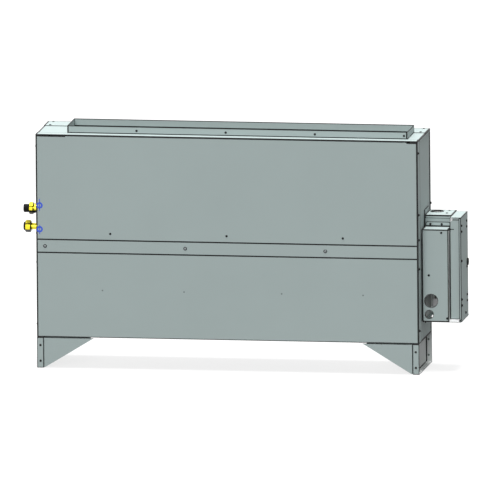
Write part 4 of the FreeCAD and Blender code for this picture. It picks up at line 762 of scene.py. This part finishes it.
# Screws on the CAD screws' places: a pan head with a round drive recess, and on the right side,
# where the photograph shows them in profile, a raised head on a washer face. The lid has one
# more screw in its lower right hole.
pan_head = turned([(-3.5, 1.8), (0, 1.9), (0, 3.6), (0.5, 3.6), (1.2, 3.2), (1.8, 2.3),
                   (2.0, 1.5), (1.2, 1.2), (1.1, 0.6)], sides=16)
raised_head = turned([(-1.2, 1.8), (0, 1.9), (0, 4.6), (0.8, 4.6), (0.9, 3.4), (2.8, 3.2),
                      (3.3, 2.2), (2.2, 1.2), (2.1, 0.6)], sides=16)
lid_corner_screw = facing_front([(662, 164)], LID_FRONT - SCREW_HIGH)
for source, added in (("casing_screws", []), ("control_box_screws", lid_corner_screw)):
    places = [screw_place(lump) for lump in lumps_of(source)]
    rightward = [spot for spot in places if spot[1].x > 0.5]
    others = [spot for spot in places if spot[1].x < 0.5] + added
    piece = scatter(source + "_heads", others, pan_head, black_screw, SCREW_HIGH)
    settle(piece, "unit", "screw_steel", source)
    piece = scatter(source + "_raised_heads", rightward, raised_head, black_screw, SCREW_HIGH)
    settle(piece, "unit", "screw_steel")

# Joint rail: a black washer, a pale low head and a dark hexagonal drive at each of its screws
rail_places = [screw_place(lump) for lump in lumps_of("rail_screws")]
washer = turned([(0, 1.9), (0, 5.6), (0.9, 5.6), (1.1, 5.2), (1.1, 1.9)], sides=24, closed=True)
piece = scatter("rail_screw_washers", rail_places, washer, black_screw, RAIL_SCREW_HIGH)
settle(piece, "unit", "screw_steel")
rail_head = turned([(-5, 1.8), (1.1, 1.9), (1.1, 3.5), (1.7, 3.3), (2.15, 2.6), (2.15, 1.7)],
                   sides=20)
piece = scatter("rail_screw_heads", rail_places, rail_head, pale_zinc, RAIL_SCREW_HIGH)
settle(piece, "unit", "screw_steel", "rail_screws")
recess = turned([(1.95, 1.7), (2.19, 1.7), (2.19, 0.6)], sides=6)
piece = scatter("rail_screw_drives", rail_places, recess, black_screw, RAIL_SCREW_HIGH)
settle(piece, "unit", "screw_steel")

# Rivets in the lower front panel, with a dimple in the head
rivet = turned([(-0.3, 2.6), (0.1, 2.6), (0.5, 1.8), (0.5, 1.2), (0.2, 0.4)], sides=12)
places = facing_front([(x, 240) for x in (-383.2, -133.5, 165.2, 414.5)], FRONT)
settle(scatter("lower_panel_rivets", places, rivet, mark_grey), "unit", "casing_steel")

# Rubber plugs in the holes of the collar's front and of the front flanges, black as painted shade
# where the open holes would show shade, grey washers behind those of the rear flanges, and
# coated buttons in those of the collar's back
collar_holes = [(x, 724.6) for x in (538, 265, -8, -281)]
flange_holes = [(side * FLANGE_HOLE_X, z) for side in (-1, 1) for z in (21, 69)]
plug = turned([(-1.5, 2.1), (0, 2.1), (0, 3.7), (0.5, 3.7), (0.5, 0.3)], sides=16)
places = facing_front(flange_holes, FRONT) + facing_front(collar_holes, COLLAR_FRONT)
settle(scatter("front_hole_plugs", places, plug, rubber), "unit", "rubber")
disc = turned([(0, 3.3), (0.4, 3.3), (0.4, 1)], sides=16)
places = facing_front(flange_holes, BACK - 2.05)
settle(scatter("rear_hole_washers", places, disc, mark_grey), "unit", "casing_steel")
button = turned([(-0.8, 2.0), (0, 2.1), (0, 2.9), (0.2, 2.9), (0.3, 2.4), (0.3, 0.3)], sides=16)
places = facing_front(collar_holes, COLLAR_BACK - COLLAR_SHEET)
settle(scatter("collar_back_buttons", places, button, coated_button), "unit", "casing_steel")

# Rubber strips on the legs, under the casing's front and side edges, black as painted shade in the
# gap there between legs and casing
strip_low, strip_high = LEG_HIGH + SLACK, CASE_LOW - SLACK
strips = [plate(*on_side(side, (565, FRONT + 0.2, strip_low), (584.8, FRONT + 2.4, strip_high)))
          for side in (-1, 1)]
strips += [plate(*on_side(side, (582.4, FRONT + 2.4, strip_low), (584.8, BACK - 2.4, strip_high)))
           for side in (-1, 1)]
settle(make_piece("leg_top_strips", strips, rubber), "unit", "rubber")

# Blue centre marks printed on the front beside the pipe unions, each a ring and three strokes
MARK_X = -574
marks = []
for height, below, above in ((497, 17, 20), (424, 15, 13)):
    ring = [(-0.2, 4.6), (-0.2, 9.8), (0.1, 9.8), (0.1, 4.6)]
    marks.append(turned(ring, (MARK_X, FRONT, height), (0, 1, 0), 36, closed=True))
    marks += [plate((MARK_X - 1.2, FRONT - 0.2, height + start),
                    (MARK_X + 1.2, FRONT + 0.1, height + end))
              for start, end in ((-below, -9), (-4.8, 4.8), (9, above))]
settle(make_piece("printed_centre_marks", marks, blue_print), "unit", "casing_steel")


def pipe_fitting(name, rise, neck, ring, bore, nut_out, nut_long, cap_long, painted_shade_below):
    """A turned union, a chamfered hexagon nut and the plastic cap on the union's end.

    rise is the pipe's height over the casing's lower edge. neck, ring and bore are the union's
    radii, nut_out is how far from the casing the nut starts, and the last argument is where the
    dark painted shade on the lower side ends, from the pipe's middle.
    """
    centre, outward = (-HALF_WIDE, PIPE_Y, CASE_LOW + rise), (-1, 0, 0)
    end, thread = nut_out + nut_long, neck - 1.5
    profile = [(-15, bore), (-15, neck - 0.6), (-14.4, neck), (nut_out - 5.5, neck),
               (nut_out - 5.5, ring - 0.5), (nut_out - 5, ring), (nut_out - 0.5, ring),
               (nut_out, ring - 0.5), (nut_out, thread), (end - 3.5, thread), (end - 3.5, bore)]
    brass = turned_brass(f"{name}_union_brass", centre, (-1, -(nut_out - 2)), painted_shade_below)
    union = turned(profile, centre, outward, closed=True)
    piece = make_piece(f"{name}_turned_union", [union], brass)
    settle(piece, "unit", "brass", f"{name}_union")
    flats = NUT_CORNER * math.cos(math.pi / 6)
    profile = [(nut_out, thread + 0.1), (nut_out, flats + 0.2), (nut_out + 1.6, NUT_CORNER),
               (end - 1.6, NUT_CORNER), (end, flats + 0.2), (end, thread + 0.1)]
    brass = turned_brass(f"{name}_nut_brass", centre, (-nut_out, -end), painted_shade_below, NUT_CORNER)
    nut = turned(profile, centre, outward, 48, flats, closed=True)
    piece = make_piece(f"{name}_hexagon_nut", [nut], brass, sharp_from=25)
    settle(piece, "unit", "brass", f"{name}_flare_nut")
    far = end + cap_long
    profile = [(end - 3, thread), (end, thread), (end, CAP_RADIUS), (far - 1.5, CAP_RADIUS),
               (far - 0.4, CAP_RADIUS - 0.4), (far, 11.0), (far, 6.0)]
    piece = make_piece(f"{name}_moulded_cap", [turned(profile, centre, outward)], black_cap)
    settle(piece, "unit", "black_cap", f"{name}_union_cap")


pipe_fitting("gas", rise=376, neck=13, ring=15, bore=7.95, nut_out=23.5, nut_long=12.5,
             cap_long=17, painted_shade_below=-4)
pipe_fitting("liquid", rise=321, neck=9.6, ring=10.6, bore=4.85, nut_out=31.5, nut_long=16.5,
             cap_long=5.3, painted_shade_below=-9.5)

# Rubber edging round the cable entries, and the plug in the box's side
edging = [(-0.6, 0.9), (-0.6, -0.7), (1.8, -0.7), (1.8, 0.9)]
entries = [((613, LID_FRONT, 217), (0, 1, 0), 20.5), ((607, LID_FRONT, 175.4), (0, 1, 0), 13.0),
           ((613, 64, BOX_HIGH), (0, 0, -1), 20.5)]
rings = [turned([(along, radius + out) for along, out in edging], centre, axis, 48, closed=True)
         for centre, axis, radius in entries]
settle(make_piece("cable_entry_edging", rings, rubber), "unit", "black_cap")
side_plug = turned([(0, 11), (3.0, 11), (4, 10), (4, 4)], (COVER_RIGHT, 58, 320), (1, 0, 0))
piece = make_piece("box_side_plug", [side_plug], black_cap)
settle(piece, "unit", "black_cap", "control_side_plug")

# The box's base: four plates round the way for cables that shows through the lower entry, and
# the fold at its back
base_front, base_right, base_top = -58.55, 703.5, BOX_LOW + BOX_SHEET
way_left, way_right, way_front, way_back = 596, 657, -36, 70
base_outline = ((BOX_LEFT, -58.6, BOX_LOW), (base_right, BOX_BACK, base_top), 1.2)
base_sheets = [plate((BOX_LEFT, base_front, BOX_LOW), (way_left, BOX_BACK, base_top)),
               plate((way_right, base_front, BOX_LOW), (base_right, BOX_BACK, base_top)),
               plate((way_left, base_front, BOX_LOW), (way_right, way_front, base_top)),
               plate((way_left, way_back, BOX_LOW), (way_right, BOX_BACK, base_top)),
               plate((588.9, 89.35, base_top), (666, 90.55, 166))]
piece = make_piece("box_base_with_cable_way", base_sheets,
                   coated_sheet("coated_box_base", [base_outline]))
settle(piece, "unit", "box_steel", "control_box_base")

# Two pale folds: one in the side tray's upper corner, and a sloped one that closes its bottom,
# which is pale as painted light on a lit top face
corner_fold = plate((670.5, -43.5, 455), (680, -43, 469.5))
slope = ((-57, 153.3), (-57, 153.7), (-45.6, 159.8), (-45.6, 159.2))
ledge = ([mm(x, *spot) for x in (668, 697) for spot in slope],
         [(0, 1, 2, 3), (4, 5, 6, 7), (0, 1, 5, 4), (1, 2, 6, 5), (2, 3, 7, 6), (3, 0, 4, 7)])
piece = make_piece("box_pale_folds", [corner_fold, ledge], capacitor_case_and_painted_light)
settle(piece, "unit", "box_steel")


def fan_blade():
    """One forward curved blade, along x, standing on the wheel's radius."""
    upper, lower = [], []
    for step in range(BLADE_STEPS + 1):
        t = step / BLADE_STEPS
        radius, angle = BLADE_INNER + BLADE_DEEP * t, BLADE_SWEEP * t ** 1.7
        out = Vector((math.cos(angle), math.sin(angle)))
        side = Vector((-out.y, out.x))
        upper.append(out * radius + side * BLADE_HALF_THICK)
        lower.append(out * radius - side * BLADE_HALF_THICK)
    section = upper + lower[::-1]
    vertices = [mm(x, spot.x, spot.y) for x in (-BLADE_HALF_LONG, BLADE_HALF_LONG)
                for spot in section]
    count = len(section)
    faces = [(k, (k + 1) % count, (k + 1) % count + count, k + count) for k in range(count)]
    return vertices, faces + [tuple(range(count)), tuple(range(count, 2 * count))]


# Fan wheels: two rims and a middle disc each, with the blades between them
blade = make_piece("fan_blade_shape", [fan_blade()], wheel_plastic)
for end, shift in (("left", -WHEEL_SHIFT), ("right", WHEEL_SHIFT)):
    centre = (SHAFT_MIDDLE[0] + shift, *SHAFT_MIDDLE[1:])
    piece = grow(f"{end}_wheel_blades", RING, Blade=blade, Count=BLADES, Centre=mm(*centre),
                 Finish=wheel_plastic)
    settle(piece, "fan_rotor", "wheel_plastic")
    solids = [turned([(near, RIM_INNER), (near, RIM_OUTER), (far, RIM_OUTER), (far, RIM_INNER)],
                     centre, (1, 0, 0), 72, closed=True)
              for near, far in ((-WHEEL_HALF_LONG, RIM_THICK - WHEEL_HALF_LONG),
                                (WHEEL_HALF_LONG - RIM_THICK, WHEEL_HALF_LONG))]
    hub = [(-22, SHAFT_BORE), (-22, 16), (-1.5, 17), (-1.5, 78), (1.5, 78), (1.5, 17), (22, 16),
           (22, SHAFT_BORE)]
    solids.append(turned(hub, centre, (1, 0, 0), 72, closed=True))
    piece = make_piece(f"{end}_wheel_frame", solids, wheel_plastic)
    settle(piece, "fan_rotor", "wheel_plastic", f"{end}_fan_wheel")
bpy.data.objects.remove(blade)

# Motor with rounded end bells, and the rubber rings that its cradle holds
bell = [(70, SHAFT_BORE), (70, 20), (69, 21), (53, 21), (52, 23), (52, 40), (49, 48), (43, 54),
        (36, 55.6)]
profile = [(-along, radius) for along, radius in bell] + bell[::-1]
motor = turned(profile, SHAFT_MIDDLE, (1, 0, 0), 64, closed=True)
settle(make_piece("motor_shell", [motor], motor_paint), "unit", "motor_paint", "fan_motor")
section = [(-6, 21.2), (-6, 28.6), (-4.6, 29.6), (4.6, 29.6), (6, 28.6), (6, 21.2)]
rings = [turned([(along + middle, radius) for along, radius in section], SHAFT_MIDDLE, (1, 0, 0),
                48, closed=True) for middle in (-61, 61)]
settle(make_piece("motor_rings", rings, rubber), "unit", "rubber", "motor_rubber_rings")

# Coil: foil fins, copper return bends and headers
fins = int((COIL_RIGHT - COIL_LEFT) / FIN_PITCH)
first_x = (COIL_LEFT + COIL_RIGHT - (fins - 1) * FIN_PITCH) / 2
piece = grow("coil_fins", ROW, Start=leaned(first_x, COIL_DEEP / 2, COIL_HIGH / 2),
             Pitch=mm(FIN_PITCH, 0, 0), Count=fins, Plate=mm(FIN_THICK, COIL_DEEP, COIL_HIGH),
             Turn=(-COIL_LEAN, 0, 0), Finish=fin_foil)
settle(piece, "unit", "coil_fins", "coil_fin_pack")
cores = [(TUBE_RADIUS, [leaned(x, row, TUBE_LOW + k * TUBE_PITCH)
                        for x in (COIL_LEFT + 1, COIL_RIGHT - 1)])
         for k in range(TUBES_HIGH) for row in (FRONT_ROW, BACK_ROW)]
settle(tubes("coil_tubes", cores, copper), "unit", "copper")


def half_turn(x, outward, start, end):
    """Points of a half circle between two tube ends of (row, rise) at a face of the coil."""
    middle = (Vector(start) + Vector(end)) / 2
    reach = (Vector(end) - Vector(start)).length / 2
    points = []
    for step in range(BEND_STEPS + 1):
        angle = math.pi * step / BEND_STEPS
        row, rise = middle + (Vector(start) - middle) * math.cos(angle)
        points.append(leaned(x + outward * reach * math.sin(angle), row, rise))
    return points


# On the right, bends join the tubes of each row in pairs. On the left, three bends in each row
# join the pairs and three cross between the rows, which leaves three tubes of a row to its header.
right_face, left_face = COIL_RIGHT + COIL_PLATE, COIL_LEFT - COIL_PLATE
bends = []
for row in (FRONT_ROW, BACK_ROW):
    for k in range(TUBES_HIGH // 2):
        rise = TUBE_LOW + 2 * k * TUBE_PITCH
        bends.append(half_turn(right_face, 1, (row, rise), (row, rise + TUBE_PITCH)))
    for k in range(TUBES_HIGH // 4):
        rise = TUBE_LOW + (4 * k + 1) * TUBE_PITCH
        bends.append(half_turn(left_face, -1, (row, rise), (row, rise + TUBE_PITCH)))
for k in range(TUBES_HIGH // 4):
    rise = TUBE_LOW + (4 * k + 3) * TUBE_PITCH
    bends.append(half_turn(left_face, -1, (FRONT_ROW, rise), (BACK_ROW, rise)))
piece = tubes("copper_return_bends", [(BEND_TUBE_RADIUS, points) for points in bends], copper)
settle(piece, "unit", "copper", "coil_return_bends")
for name, row, header, pipe, pipe_rise in (("gas", FRONT_ROW, 9.4, 7.8, 114.63),
                                           ("liquid", BACK_ROW, 6.9, 4.7, 65.85)):
    routes = [(header, [leaned(HEADER_X, row, rise) for rise in HEADER_ENDS]),
              (pipe, [leaned(x, row, pipe_rise) for x in (HEADER_X, PIPE_END_X)])]
    for k in range(TUBES_HIGH // 4):
        rise = TUBE_LOW + 4 * k * TUBE_PITCH
        routes.append((BEND_TUBE_RADIUS,
                       [leaned(x, row, rise) for x in (HEADER_X, COIL_LEFT - 1.3)]))
    settle(tubes(f"{name}_header_tubes", routes, copper), "unit", "copper", f"{name}_header")

# Filter net: strands both ways, drawn 3 mm apart so that they show
piece = grow("net_cross_strands", ROW, Start=mm(-390, 15, 91.9), Pitch=mm(NET_PITCH, 0, 0),
             Count=261, Plate=mm(STRAND_WIDE, NET_DEEP, STRAND_THICK), Finish=net_plastic)
settle(piece, "filter", "filter_net", "filter_mesh")
piece = grow("net_long_strands", ROW, Start=mm(0, -64.5, 91.6), Pitch=mm(0, NET_PITCH, 0),
             Count=54, Plate=mm(NET_LONG, STRAND_WIDE, STRAND_THICK), Finish=net_plastic)
settle(piece, "filter", "filter_net")
